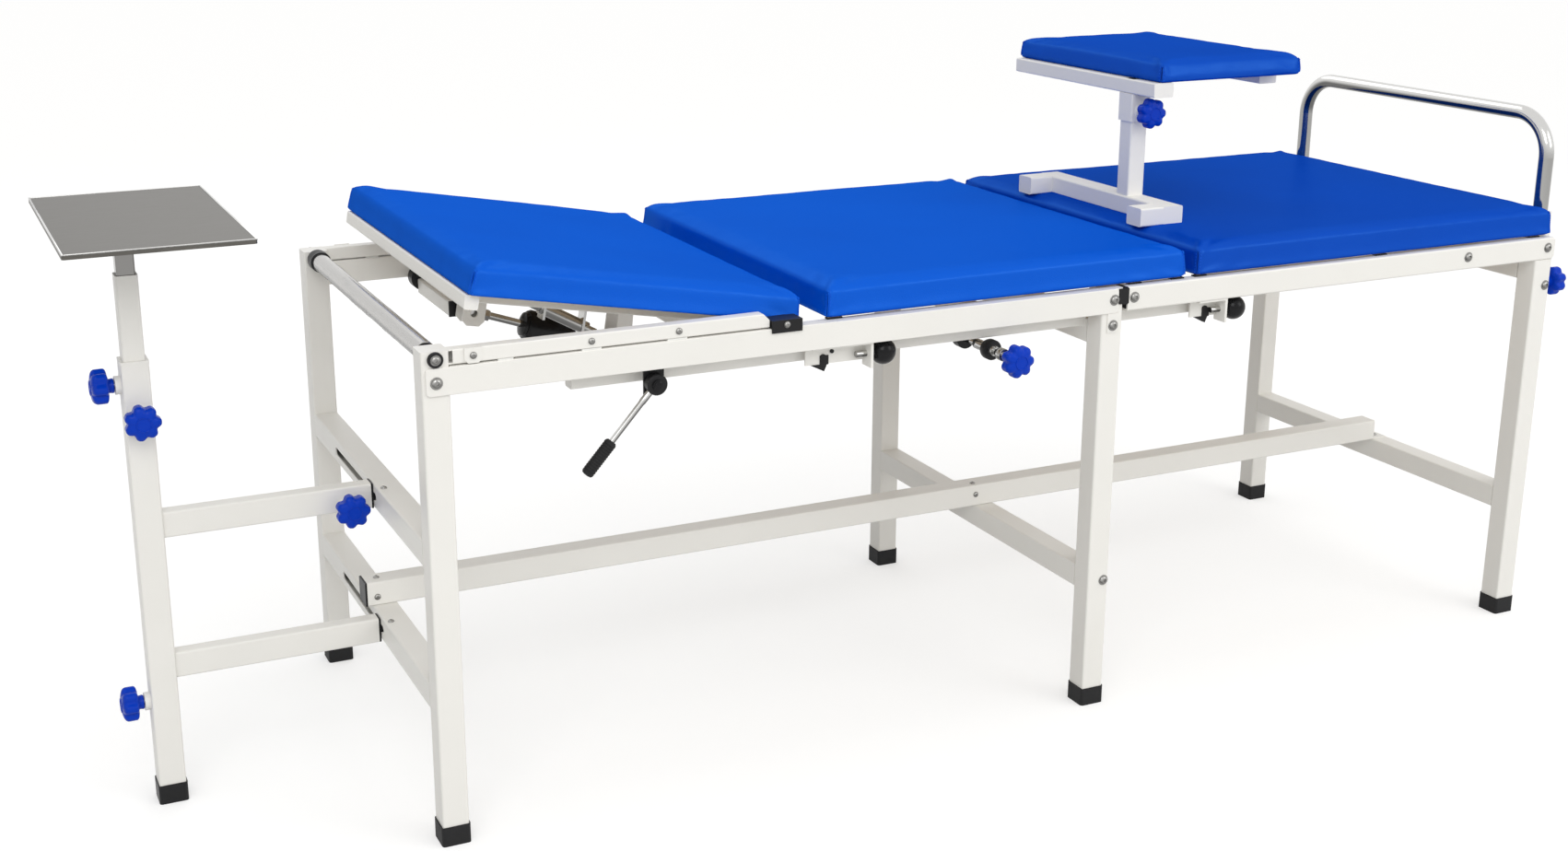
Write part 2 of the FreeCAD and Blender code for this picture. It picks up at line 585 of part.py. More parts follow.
def under_frame():
    """Cross tubes and inner rails under the pads with the hubs, forks and brackets they carry"""
    size = ("cross_tube", "cross_tube")
    start, length = "rail_wide - half_tube - rail_proud", "leg_span + tube - 2 * rail_wide + 2 * rail_proud"
    strut_tube = tube("strut_cross_tube", "y", ("foot_x + 12", "cross_level"), size, start, length)
    clamp_tube = tube("clamp_cross_tube", "y", ("clamp_x", "cross_level"), size, start, length)
    short_tube = tube("side_tube", "y", ("side_x", "rail_base - 11"), size, "side_near", "side_far - side_near")
    node("pad_cross_tubes", strut_tube, clamp_tube, short_tube)

    at = ("inner_near + inner_wide / 2", "cross_level - cross_tube / 2 - inner_high / 2")
    inner = ("inner_wide", "inner_high")
    left = tube("left_inner_rail", "x", at, inner, "inner_left", "middle_leg - half_tube - inner_left", caps=2)
    right = tube("right_inner_rail", "x", at, inner, "middle_leg + half_tube",
                 "inner_right - middle_leg - half_tube", caps=2)
    pair("inner_rails", left, right)

    hub = new_body("side_hub")
    disc(hub, "y", ("side_x - 3", "rail_base + 1"), 20, "side_far", "leg_span - 3 - side_far")
    hanger = new_body("clamp_hanger")
    box(hanger, "y", ("clamp_x", "(cross_level - cross_tube / 2 + clamp_level) / 2"),
        (16, "cross_level - cross_tube / 2 - clamp_level"), "clamp_near", 16)
    disc(hanger, "y", ("clamp_x", "clamp_level"), 16, "clamp_near", 16)
    disc(hanger, "y", ("clamp_x", "clamp_level"), "stud_radius + pin_fit", "clamp_near", 16, cut=True)
    node("frame_hubs", hub, hanger)

    fork = new_body("strut_bracket")
    disc(fork, "y", ("foot_x", "foot_z"), "stud_radius", "strut_y - 28", 56)
    x, z, top = val("foot_x"), val("foot_z"), val("cross_level") - val("cross_tube") / 2
    profile = [(x, top), (x + 24, top), (x + 14, z - 7), (x + 8, z - 14), (x - 8, z - 14), (x - 14, z - 7),
               (x - 12, z + 11)]
    for first in ("strut_y - 26", "strut_y + 22"):
        plate(fork, "y", profile, first, 4)
    node("strut_bracket", fork)

    brackets, catches = [], []
    base = val("rail_base")
    for left, tab, bolts in ((val("hinge_x") + 44, 94, ((28, 21, 5), (42, 13, 3))),
                             (val("middle_leg") + 168, 50, ((28, 19, 5),))):
        angle = new_body("latch_bracket")
        middle = left + tab / 2 + 2
        box(angle, "y", (middle, "rail_base - 17"), (tab + 4, 28), 8, 3)
        box(angle, "y", (middle, "rail_base - 1.5"), (tab + 4, 3), -16, 27)
        box(angle, "x", (-2.5, "rail_base - 19.5"), (27, 39), left + tab, 4)
        disc(angle, "x", (0, "pull_level"), "stud_radius + pin_fit", left + tab, 4, cut=True)
        brackets.append(angle)
        catch = new_body("latch_catch")
        plate(catch, "y", [(left + 8, base - 31), (left + 30, base - 42), (left + 35, base - 31)], 7, 8)
        for x, drop, radius in bolts:
            disc(catch, "y", (left + x, base - drop), radius, 5.5, 2.5)
        box(catch, "y", (left + 30, "rail_base - 25"), (14, 14), 7, 1)
        catches.append(catch)
    bracket = new_body("lever_bracket")
    box(bracket, "y", ("lever_x", "pull_level"), (30, 40), -2, 4)
    disc(bracket, "y", ("lever_x", "lever_level"), 5, -17, 15)
    disc(bracket, "y", ("lever_x", "lever_level"), 8, -20, 3.5)
    node("rail_brackets", *brackets, bracket)
    node("latch_catches", *catches)


def hinge():
    """Black saddles over the lower rails with the hinge pins of the backrest"""
    saddle = new_body("hinge_saddle")
    rail_inner = val("rail_wide") + lug_face
    box(saddle, "x", (-10, "rail_top + 6"), (29, 12), "hinge_x - 24", 47)
    box(saddle, "x", (-23.35, "rail_top - 2.9"), (2.3, 6.2), "hinge_x - 24", 47)
    box(saddle, "x", (rail_inner + 1.4, "rail_top - 4"), (2.4, 32), "hinge_x - 10", 20)
    disc(saddle, "y", ("hinge_x", "hinge_z"), 7, 5.5, 2.3)
    disc(saddle, "y", ("hinge_x", "hinge_z"), "pin_radius", 7, 19)
    pair("hinge_saddles", saddle)


def on_backrest(item):
    """Set a piece drawn from the hinge axis, backrest flat, at the tilt as built"""
    turn = FreeCAD.Rotation(FAR, val("tilt"))
    item.Placement = FreeCAD.Placement(V(val("hinge_x"), 0, val("hinge_z")), turn)
    return item


def backrest():
    """Backrest drawn flat about the hinge axis: steel frame, board, cushion and lock"""
    size = (20, 20)
    arms = []
    for name, first in (("near_hinge_arm", 8), ("far_hinge_arm", "leg_span - 28")):
        arm = tube(name, "x", (f"{first} + 10", 0), size, -50, 64, caps=2)
        disc(arm, "y", (0, 0), "pin_radius + pin_fit", first, 20, cut=True)
        arms.append(arm)
    members = [tube("backrest_left", "y", (-450, 0), size, 18, "leg_span - 36", caps=2),
               tube("backrest_middle", "y", ("eye_x", 0), size, 90, "leg_span - 180"),
               tube("backrest_right", "y", (-40, 0), size, 28, "leg_span - 56")]
    sides = [tube("backrest_side", "x", (y, 0), size, -440, 390) for y in (80, "leg_span - 80")]
    cheeks = []
    for first in ("strut_y - 18", "strut_y + 14"):
        cheek = new_body("fork_cheek")
        x, z = val("eye_x"), val("eye_z")
        plate(cheek, "y", [(x - 18, -10), (x + 18, -10), (x + 18, z - 12), (x + 10, z - 20),
                           (x - 10, z - 20), (x - 18, z - 12)], first, 4)
        disc(cheek, "y", ("eye_x", "eye_z"), "rod_radius", first, 4, cut=True)
        cheeks.append(cheek)
    node("backrest_frame", *[on_backrest(item) for item in arms + sides + members + cheeks])
    at = (-213.5, "mid_plane")
    cover = (495, "leg_span - 12")
    board = new_body("backrest_board")
    box(board, "z", at, [f"({side}) - 2 * board_inset" for side in cover], 10, "board_thick")
    node("backrest_board", on_backrest(board))
    node("backrest_cushion", on_backrest(cushion_on("backrest_cushion", at, cover, 10, "10 + board_thick", 54)))

    along = FreeCAD.Placement(V(-248.6, 300, -52.3), FreeCAD.Rotation(UP, V(80.3, 0, -28.1)))
    holders = new_body("lock_holders")
    for x, low in ((-246, -70), (-181, -92)):
        box(holders, "x", (300, (low + 10) / 2), (24, 10 - low), x, 4)
    bore = new_body("lock_bore")
    disc(bore, "z", (0, 0), "lock_radius", -20, 130)
    bore.Placement = along
    clamp = doc.addObject("Part::Cut", "lock_clamp")
    clamp.Base, clamp.Tool = holders, bore
    barrel = new_body("lock_barrel")
    disc(barrel, "z", (0, 0), "lock_radius", 0, 84)
    disc(barrel, "z", (0, 0), 7.5, -14, 14)
    disc(barrel, "z", (0, 0), "rod_radius", 84, 16)
    on_backrest(clamp)
    barrel.Placement = clamp.Placement.multiply(along)
    node("lock_cylinder", clamp, barrel)


def strut():
    """Gas strut from its bracket to the backrest"""
    angle = math.radians(val("tilt"))
    eye_x = val("hinge_x") + val("eye_x") * math.cos(angle) + val("eye_z") * math.sin(angle)
    eye_z = val("hinge_z") - val("eye_x") * math.sin(angle) + val("eye_z") * math.cos(angle)
    reach = math.hypot(eye_x - val("foot_x"), eye_z - val("foot_z"))
    along = FreeCAD.Rotation(UP, V(eye_x - val("foot_x"), 0, eye_z - val("foot_z")))
    spot = FreeCAD.Placement(V(val("foot_x"), val("strut_y"), val("foot_z")), along)

    barrel = new_body("strut_barrel")
    disc(barrel, "y", (0, 0), 12, -20, 40)
    disc(barrel, "z", (0, 0), "barrel_radius", 14, 156)
    disc(barrel, "z", (0, 0), "sleeve_radius", 58, 104)
    box(barrel, "z", (0, 0), (20, 36), 0, 16)
    disc(barrel, "y", (0, 0), "stud_radius + pin_fit", -20, 40, cut=True)
    disc(barrel, "z", (0, 0), "rod_radius + pin_fit", 22, 150, cut=True)
    barrel.Placement = spot
    node("strut_barrel", barrel)

    rod = new_body("strut_rod")
    disc(rod, "z", (0, 0), "rod_radius", 75, reach - 80)
    disc(rod, "y", (0, reach), 10, -8, 16)
    rod.Placement = spot
    node("strut_rod", rod)


def lever():
    """Release lever on its pin under the near rail"""
    turn = FreeCAD.Placement(V(val("lever_x"), 0, val("lever_level")), FreeCAD.Rotation(FAR, -48))
    arm = new_body("lever_arm")
    disc(arm, "y", (0, 0), 15, -16, 13.7)
    disc(arm, "x", (-9, 0), 5, -112, 100)
    disc(arm, "y", (0, 0), 5.05, -16, 13.7, cut=True)
    grip = new_body("lever_grip")
    block = disc(grip, "x", (-9, 0), 9, -157, 57)
    soften(grip, block, 3, lambda edge: True)
    disc(grip, "x", (-9, 0), 5, -112, 12, cut=True)
    for item in (arm, grip):
        item.Placement = turn
    node("lever_arm", arm)
    node("lever_grip", grip)


def latch(name, x, back):
    """Ball knob on a rod that is pulled along the rail; x is the middle of the ball"""
    body = new_body(name)
    radius = 19.5
    ball = [(radius * math.sin(math.radians(a)), -radius * math.cos(math.radians(a))) for a in range(24, 180, 12)]
    neck = ball[0][1] - 2
    turned(body, [(0, -back), (5, -back), (5, -23.5), (8, -23.5), (8, neck), (ball[0][0], neck)]
           + ball + [(0, radius)])
    node(name, aim(body, (x, 0, val("pull_level")), RIGHT))


def knob(name, spot, direction, inside=8.0, stem=17.0, sleeve=False):
    """Seven-lobed hand knob: z = 0 is the face it clamps on, the stud goes inside"""
    body = new_body(name)
    head, stud = 25.0, val("stud_radius")
    bottom, top = stem, stem + 23
    collar = [(8, 30), (8, 84), (stud, 84)] if sleeve else []
    foot = [(stud, 30)] if sleeve else []
    turned(body, [(0, -inside), (stud, -inside)] + foot + collar +
           [(stud, bottom - 8), (11, bottom - 8), (11, bottom), (head - 3, bottom), (head, bottom + 3),
            (head, top - 4), (head - 4, top), (12, top), (12, top - 1), (9, top - 1), (9, top), (0, top)])
    scallop = disc(body, "z", (29.5, 0), 8.5, bottom - 1, 26, cut=True)
    pattern = body.newObject("PartDesign::PolarPattern", "Lobes")
    pattern.Originals = [scallop]
    pattern.Axis = ([item for item in body.Origin.OriginFeatures if item.Role == "Z_Axis"][0], [""])
    pattern.Angle = 360
    pattern.Occurrences = 7
    body.Tip = pattern
    node(name, aim(body, spot, direction))


def boss_on(body, axis, centre, face, wall="tube_wall"):
    """Round boss on the low face of a tube, bored for a knob stud through the wall"""
    first = face - val("boss_high")
    disc(body, axis, centre, "boss_radius", first, "boss_high")
    disc(body, axis, centre, "stud_radius + pin_fit", first, f"boss_high + {wall}", cut=True)


def end_handle():
    brackets = new_body("handle_bracket")
    block = box(brackets, "z", ("handle_x", "handle_y"), (28, 30), "rail_base + 25", 48)
    soften(brackets, block, 3, long_edges("z"))
    box(brackets, "x", (15, "rail_level"), (68, 30), "right_rail_end", 3)
    disc(brackets, "z", ("handle_x", "handle_y"), "handle_radius", "handle_foot", 34, cut=True)
    pair("handle_brackets", brackets)
    grip = new_body("end_handle")
    section = sketch_on(grip, "z", ("handle_x", "handle_y"), "handle_foot")
    section.addGeometry(Part.Circle(V(), UP, val("handle_radius")), False)
    path = sketch_on(grip, "x", (0, 0), "handle_x")
    near, far = val("handle_y"), 2 * val("mid_plane") - val("handle_y")
    foot, top, bend = val("handle_foot"), val("handle_top"), val("handle_bend")
    path.addGeometry(Part.LineSegment(V(near, foot, 0), V(near, top - bend, 0)), False)
    path.addGeometry(Part.ArcOfCircle(Part.Circle(V(near + bend, top - bend, 0), UP, bend),
                                      math.pi / 2, math.pi), False)
    path.addGeometry(Part.LineSegment(V(near + bend, top, 0), V(far - bend, top, 0)), False)
    path.addGeometry(Part.ArcOfCircle(Part.Circle(V(far - bend, top - bend, 0), UP, bend),
                                      0, math.pi / 2), False)
    path.addGeometry(Part.LineSegment(V(far, top - bend, 0), V(far, foot, 0)), False)
    sweep = grip.newObject("PartDesign::AdditivePipe", "Sweep")
    sweep.Profile = section
    sweep.Spine = path
    node("end_handle", grip)


def stool():
    """Lift-off stool: base with post, and a seat that slides on the post"""
    base_size = ("stool_bar", "stool_bar_high")
    base_bar = tube("stool_bar", "y", ("stool_x", "stool_base_level"), base_size, "stool_y - 120", 360, caps=2)
    post = tube("stool_post", "z", ("stool_x", "stool_y"), ("seat_post", "seat_post"),
                "pad_top + stool_bar_high", 190, caps=2)
    feet = [tube("stool_foot", "x", (y, "stool_base_level"), base_size, "stool_x - 64", "64 - stool_bar / 2", caps=2)
            for y in ("stool_y - 101", "stool_y + 221")]
    node("stool_base", base_bar, post, *feet)

    bore = "seat_post + 2 * slide_fit"
    sleeve = new_body("stool_sleeve")
    block = box(sleeve, "z", ("stool_x", "stool_y"), ("stool_bar", "stool_bar"), "pad_top + 155", 46)
    soften(sleeve, block, "tube_round", long_edges("z"))
    boss_on(sleeve, "y", ("stool_x", "stool_knob_level"), val("stool_y") - val("stool_bar") / 2, wall=3)
    box(sleeve, "z", ("stool_x", "stool_y"), (bore, bore), "pad_top + 155", 46, cut=True)
    left_tube = tube("seat_left_tube", "y", ("stool_x", "seat_base - 12"), ("stool_bar", 24), "stool_y - 77", 410,
                     caps=2)
    box(left_tube, "z", ("stool_x", "stool_y"), (bore, bore), "seat_base - 25", 26, cut=True)
    cross_tube = tube("seat_cross_tube", "x", ("seat_pad_y", "seat_base - 10"), ("stool_bar", 20),
                      "stool_x + stool_bar / 2", 219)
    right_tube = tube("seat_right_tube", "y", ("stool_x + 256", "seat_base - 10"), (36, 20), "stool_y - 24", 310,
                      caps=2)
    node("stool_seat_frame", sleeve, left_tube, cross_tube, right_tube)
    node("stool_cushion", cushion_on("stool_cushion", ("seat_pad_x", "seat_pad_y"), (290, 420), "seat_base",
                                     "seat_base", "seat_base + seat_thick"))


def stand():
    """Stand that slides along the left cross bars: column, arms, mast, post and tray"""
    at = ("stand_x", "stand_y")
    column = tube("stand_column", "z", at, ("tube", "tube"), "sole", "column_top - sole")
    left_face = val("stand_x") - val("half_tube")
    near_face = val("stand_y") - val("half_tube")
    high, side = val("column_top") - 31, val("column_top") - 75
    boss_on(column, "x", ("stand_y", high), left_face)
    boss_on(column, "x", ("stand_y", 157), left_face)
    boss_on(column, "y", ("stand_x", side), near_face)
    node("stand_column", column)

    arms = []
    for level in ("bar_high", "bar_low - 4"):
        arms.append(tube("stand_arm", "x", ("stand_y", level), (25, "tube"), "stand_x + half_tube",
                         "-half_tube - 3.3 - stand_x - half_tube"))
    boss_on(arms[0], "y", (ARM_KNOB[0], ARM_KNOB[1]), val("stand_y") - 12.5)
    node("stand_arms", *arms)

    slides = []
    for level, middle, tall in (("bar_high", "bar_high", "tube"), ("bar_low", "bar_low - 4", "tube - 2")):
        slide = new_body("stand_slide")
        box(slide, "x", ("stand_y", middle), (25, tall), "-half_tube - 3.3", 2.9)
        box(slide, "x", ("stand_y", level), (30, "slot_high - 2 * slot_fit"), "-half_tube - 0.5", 2.8)
        box(slide, "x", ("stand_y", level), (30, 24), "-half_tube + 2.2", 4)
        slides.append(slide)
    node("stand_slides", *slides)

    cup = boot("stand_boot")
    place(cup, *at)
    collar = new_body("column_collar")
    box(collar, "z", at, ("tube", "tube"), "column_top", 4)
    box(collar, "z", at, ("tube - 2 * tube_wall", "tube - 2 * tube_wall"), "column_top - 60", 60)
    bore = "mast + 2 * slide_fit"
    box(collar, "z", at, (bore, bore), "column_top - 60", 64, cut=True)
    disc(collar, "x", ("stand_y", high), "stud_radius + 0.3", left_face, 8, cut=True)
    node("column_caps", cup, collar)

    node("mast_tube", tube("mast_tube", "z", at, ("mast", "mast"), "column_top - 360", "mast_top - column_top + 360",
                           wall="(mast - post) / 2 - slide_fit"))
    post = tube("tray_post", "z", at, ("post", "post"), "mast_top - 223", "tray_base - mast_top + 223")
    box(post, "z", at, (70, 70), "tray_base", 4)
    node("tray_post", post)
    tray = new_body("tray_plate")
    block = box(tray, "z", ("tray_x", "stand_y"), ("tray_wide", "tray_long"), "tray_base", 6)
    soften(tray, block, 4, long_edges("z"))
    box(tray, "z", ("tray_x", "stand_y"), ("tray_wide - 3", "tray_long - 3"), "tray_base", 4, cut=True)
    node("tray_plate", tray)

    knob("column_knob", (left_face, val("stand_y"), high), LEFT, inside=3.7)
    knob("column_side_knob", (val("stand_x"), near_face, side), NEAR, inside=3.7)
    knob("column_low_knob", (left_face, val("stand_y"), 157), LEFT, inside=3.0)
    knob("arm_knob", (ARM_KNOB[0], val("stand_y") - 12.5, ARM_KNOB[1]), NEAR)


legs()
boots()
cross_bars()
stretcher()
rails()
frame_fasteners()
roller()
pads()
under_frame()
hinge()
backrest()
strut()
lever()
latch("latch_pull_left", val("hinge_x") + 166, 45)
latch("latch_pull_right", val("middle_leg") + 246, 45)
end_handle()
stool()
stand()
knob("clamp_knob", (val("clamp_x"), val("clamp_near"), val("clamp_level")), NEAR, inside=16.0, stem=134.0, sleeve=True)
knob("end_knob", (val("right_rail_end"), 0, val("end_knob_level")), RIGHT, inside=8.0)
knob("stool_knob", (val("stool_x"), val("stool_y") - val("stool_bar") / 2, val("stool_knob_level")), NEAR, inside=2.7)

doc.recompute()
for item in doc.Objects:
    if "Invalid" in item.State or "Error" in item.State:
        raise RuntimeError(f"{item.Label} did not build: {item.State}")
os.makedirs("parts", exist_ok=True)
for item in nodes:
    if item.Shape.isNull() or not item.Shape.isValid():
        raise RuntimeError(f"{item.Label} has no valid shape")
    item.Shape.exportStep(f"parts/{item.Label}.step")
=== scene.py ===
import json
import math

import bmesh
import bpy
from bpy.props import FloatProperty, IntProperty, PointerProperty
from mathutils import Matrix, Vector, noise
from mathutils.bvhtree import BVHTree


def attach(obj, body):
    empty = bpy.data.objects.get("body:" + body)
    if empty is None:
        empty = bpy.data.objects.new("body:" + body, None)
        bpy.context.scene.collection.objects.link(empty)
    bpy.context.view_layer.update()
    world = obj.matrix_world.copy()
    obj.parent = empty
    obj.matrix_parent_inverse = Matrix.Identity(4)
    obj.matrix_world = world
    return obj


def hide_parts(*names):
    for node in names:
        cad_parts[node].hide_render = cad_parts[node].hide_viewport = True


bl_info = {
    "name": "Traction table",
    "version": (1, 0, 0),
    "blender": (4, 5, 0),
    "location": "View3D > Sidebar > Traction table",
    "description": "Builds the visible pieces of a traction table on its mechanical frame",
    "category": "Object",
}

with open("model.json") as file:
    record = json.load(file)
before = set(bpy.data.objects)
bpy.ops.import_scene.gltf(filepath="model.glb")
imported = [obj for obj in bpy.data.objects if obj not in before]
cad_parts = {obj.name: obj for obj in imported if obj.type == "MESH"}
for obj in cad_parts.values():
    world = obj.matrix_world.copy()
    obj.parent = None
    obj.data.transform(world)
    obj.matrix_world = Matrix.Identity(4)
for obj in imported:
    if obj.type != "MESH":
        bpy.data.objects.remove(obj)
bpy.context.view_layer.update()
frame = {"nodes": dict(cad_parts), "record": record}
NODES = frame["nodes"]
MM = 0.001

TILT = math.radians(10.3)
HINGE = Vector((0.506, 0.0, 0.681))
FOOT = Vector((0.430, 0.450, 0.555))
STRUT_AXIS = Vector((-0.94257930, 0.0, 0.33398244))
LEG_SPAN = 678
STRUT_REACH = 254.64
LEVER_X, LEVER_Z = 0.312, 0.627
LEVER_TILT = math.radians(48)
PULL_LEVEL = 631
BALL_RADIUS = 19.5


# Small helpers


def wire(tree, kind, inputs=None, **props):
    """Add a node, set its properties, and set or link its inputs"""
    node = tree.nodes.new(kind)
    for key, value in props.items():
        setattr(node, key, value)
    for key, value in (inputs or {}).items():
        socket = node.inputs[key]
        if isinstance(value, bpy.types.NodeSocket):
            tree.links.new(value, socket)
        else:
            socket.default_value = value
    return node


def maths(tree, operation, *values):
    return wire(tree, "ShaderNodeMath", dict(enumerate(values)), operation=operation).outputs[0]


def new_object(name, mesh):
    made = bpy.data.objects.new(name, mesh)
    bpy.context.scene.collection.objects.link(made)
    return made


def mesh_object(name, verts, faces, material=None, smooth=True, edges=()):
    mesh = bpy.data.meshes.new(name)
    mesh.from_pydata([tuple(v) for v in verts], list(edges), faces)
    mesh.update()
    if material is not None:
        mesh.materials.append(material)
    if smooth:
        mesh.shade_smooth()
    return new_object(name, mesh)


def from_bmesh(name, bm, material, smooth=True):
    mesh = bpy.data.meshes.new(name)
    bmesh.ops.recalc_face_normals(bm, faces=bm.faces)
    bm.to_mesh(mesh)
    bm.free()
    mesh.materials.append(material)
    if smooth:
        mesh.shade_smooth()
    return new_object(name, mesh)


def evaluated(obj):
    """Replace an object's modifiers by the mesh they give"""
    graph = bpy.context.evaluated_depsgraph_get()
    mesh = bpy.data.meshes.new_from_object(obj.evaluated_get(graph))
    obj.modifiers.clear()
    obj.data = mesh
    return obj


def frame_at(origin, axis, side=Vector((0, 0, 1))):
    """A matrix whose Z runs along an axis"""
    z = Vector(axis).normalized()
    x = side.cross(z)
    if x.length < 1e-4:
        x = Vector((1, 0, 0)).cross(z)
        if x.length < 1e-4:
            x = Vector((0, 1, 0)).cross(z)
    x.normalize()
    y = z.cross(x)
    turn = Matrix((x, y, z)).transposed().to_4x4()
    return Matrix.Translation(Vector(origin)) @ turn


def lathe(name, profile, origin, axis, material, steps=48, smooth_angle=35, ring=False):
    """A turned piece: radius and height pairs in millimetres, turned about an axis; a ring has no end caps"""
    place = frame_at(origin, axis)
    verts, faces = [], []
    for radius, height in profile:
        for i in range(steps):
            a = 2 * math.pi * i / steps
            point = Vector((radius * math.cos(a), radius * math.sin(a), height)) * MM
            verts.append(place @ point)
    rows = len(profile)
    for k in range(rows if ring else rows - 1):
        below, above = k * steps, (k + 1) % rows * steps
        for i in range(steps):
            j = (i + 1) % steps
            faces.append((below + i, below + j, above + j, above + i))
    if not ring:
        last = (rows - 1) * steps
        faces.append(tuple(reversed(range(steps))))
        faces.append(tuple(range(last, last + steps)))
    made = mesh_object(name, verts, faces, material, smooth=False)
    made.data.shade_smooth()
    made.data.set_sharp_from_angle(angle=math.radians(smooth_angle))
    return made


def rounded_box(name, low, high, radius, material, segments=3, place=None):
    """A box with rounded edges, from corner to corner in millimetres"""
    bm = bmesh.new()
    bmesh.ops.create_cube(bm, size=1)
    low, high = Vector(low) * MM, Vector(high) * MM
    size, middle = high - low, (high + low) / 2
    for vert in bm.verts:
        vert.co = Vector((vert.co.x * size.x, vert.co.y * size.y, vert.co.z * size.z)) + middle
    if radius:
        bmesh.ops.bevel(bm, geom=list(bm.edges), offset=radius * MM, segments=segments, profile=0.5,
                        affect="EDGES")
    if place is not None:
        bmesh.ops.transform(bm, matrix=place, verts=bm.verts)
    made = from_bmesh(name, bm, material)
    made.data.set_sharp_from_angle(angle=math.radians(50))
    return made


def ride_all(body, *objects):
    """Let pieces move with a body; the record's slot for each one's material is worked out but not given"""
    for item in objects:
        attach(item, body)
        word = item.data.materials[0].name
        word = {"deep_leather": "blue_leather", "blue_thread": "blue_leather", "tray_steel": "bolt_steel",
                "dark_steel": "chrome"}.get(word, word)


def backrest_place():
    """From backrest flat about its hinge axis to the table as stored"""
    return Matrix.Translation(HINGE) @ Matrix.Rotation(TILT, 4, "Y")


# Materials


def new_material(name, colour, roughness, metallic=0.0, **inputs):
    material = bpy.data.materials.new(name)
    material.use_nodes = True
    shader = material.node_tree.nodes["Principled BSDF"]
    shader.inputs["Base Color"].default_value = (*colour, 1)
    shader.inputs["Roughness"].default_value = roughness
    shader.inputs["Metallic"].default_value = metallic
    for key, value in inputs.items():
        shader.inputs[key.replace("_", " ")].default_value = value
    return material, material.node_tree, shader


def object_coordinates(tree, scale=(1, 1, 1)):
    source = wire(tree, "ShaderNodeTexCoord").outputs["Object"]
    return wire(tree, "ShaderNodeMapping", {"Vector": source, "Scale": scale}).outputs[0]


def add_bump(tree, shader, height, strength, distance):
    bump = wire(tree, "ShaderNodeBump", {"Height": height, "Strength": strength, "Distance": distance})
    tree.links.new(bump.outputs[0], shader.inputs["Normal"])


def vary(tree, shader, key, factor, low, high):
    """Drive a shader input between two plain values"""
    made = wire(tree, "ShaderNodeMapRange", {"Value": factor, "To Min": low, "To Max": high})
    tree.links.new(made.outputs[0], shader.inputs[key])


def tint(tree, shader, factor, first, second):
    mix = wire(tree, "ShaderNodeMix", {"Factor": factor}, data_type="RGBA")
    mix.inputs[6].default_value = (*first, 1)
    mix.inputs[7].default_value = (*second, 1)
    tree.links.new(mix.outputs[2], shader.inputs["Base Color"])


def cloud(tree, scale, detail=3.0, stretch=(1, 1, 1)):
    coords = object_coordinates(tree, stretch)
    return wire(tree, "ShaderNodeTexNoise", {"Vector": coords, "Scale": scale, "Detail": detail}).outputs[0]


def paint_material():
    material, tree, shader = new_material("frame_paint", (0.84, 0.828, 0.79), 0.36, Specular_IOR_Level=0.35)
    tint(tree, shader, cloud(tree, 9.0), (0.825, 0.812, 0.772), (0.865, 0.853, 0.816))
    vary(tree, shader, "Roughness", cloud(tree, 60.0), 0.3, 0.44)
    add_bump(tree, shader, cloud(tree, 420.0, 2.0), 0.12, 0.0004)
    return material


def leather_material(name, colour, deep):
    """Matt leathercloth with a fine grain, and a soft shine in its own colour"""
    material, tree, shader = new_material(name, colour, 0.6, Specular_IOR_Level=0.0)
    coords = object_coordinates(tree)
    cells = wire(tree, "ShaderNodeTexVoronoi", {"Vector": coords, "Scale": 620.0}, feature="SMOOTH_F1")
    fine = wire(tree, "ShaderNodeTexNoise", {"Vector": coords, "Scale": 900.0, "Detail": 4.0})
    broad = wire(tree, "ShaderNodeTexNoise", {"Vector": coords, "Scale": 14.0, "Detail": 4.0})
    grain = maths(tree, "MULTIPLY_ADD", cells.outputs["Distance"], 0.8, fine.outputs[0])
    with_creases = maths(tree, "MULTIPLY_ADD", broad.outputs[0], 2.2, grain)
    bump = wire(tree, "ShaderNodeBump", {"Height": with_creases, "Strength": 0.3, "Distance": 0.0006})
    tree.links.new(bump.outputs[0], shader.inputs["Normal"])
    tint(tree, shader, cloud(tree, 5.0), colour, deep)
    shine = wire(tree, "ShaderNodeBsdfAnisotropic", {"Color": (0.12, 0.42, 1.0, 1), "Roughness": 0.3,
                                                     "Normal": bump.outputs[0]})
    mix = wire(tree, "ShaderNodeMixShader", {0: 0.08, 1: shader.outputs[0], 2: shine.outputs[0]})
    tree.links.new(mix.outputs[0], tree.nodes["Material Output"].inputs["Surface"])
    return material


def plastic_material(name, colour, roughness, grain=300.0, strength=0.1, shine=0.2):
    material, tree, shader = new_material(name, colour, roughness, Specular_IOR_Level=shine)
    add_bump(tree, shader, cloud(tree, grain), strength, 0.0003)
    vary(tree, shader, "Roughness", cloud(tree, 45.0), roughness * 0.85, roughness * 1.2)
    return material


def steel_material(name, colour, roughness, stretch, scale=60.0, spread=0.12, painted_reflection_share=1.0):
    """Metal with fine brushing along one axis; a share below one paints a dark reflection on sides that face
    the ground, keeping that share of the colour
    """
    material, tree, shader = new_material(name, colour, roughness, 1.0)
    lines = cloud(tree, scale, 5.0, stretch)
    vary(tree, shader, "Roughness", lines, max(roughness - spread, 0.04), roughness + spread)
    add_bump(tree, shader, lines, 0.08, 0.0002)
    # Painted reflection: the colour darkens towards sides that face the ground
    if painted_reflection_share < 1:
        normal = wire(tree, "ShaderNodeNewGeometry").outputs["Normal"]
        height = wire(tree, "ShaderNodeSeparateXYZ", {0: normal}).outputs[2]
        share = wire(tree, "ShaderNodeMapRange", {"Value": height, "From Min": -0.25, "From Max": 0.3},
                     interpolation_type="SMOOTHSTEP").outputs[0]
        tint(tree, shader, share, [part * painted_reflection_share for part in colour], colour)
    return material


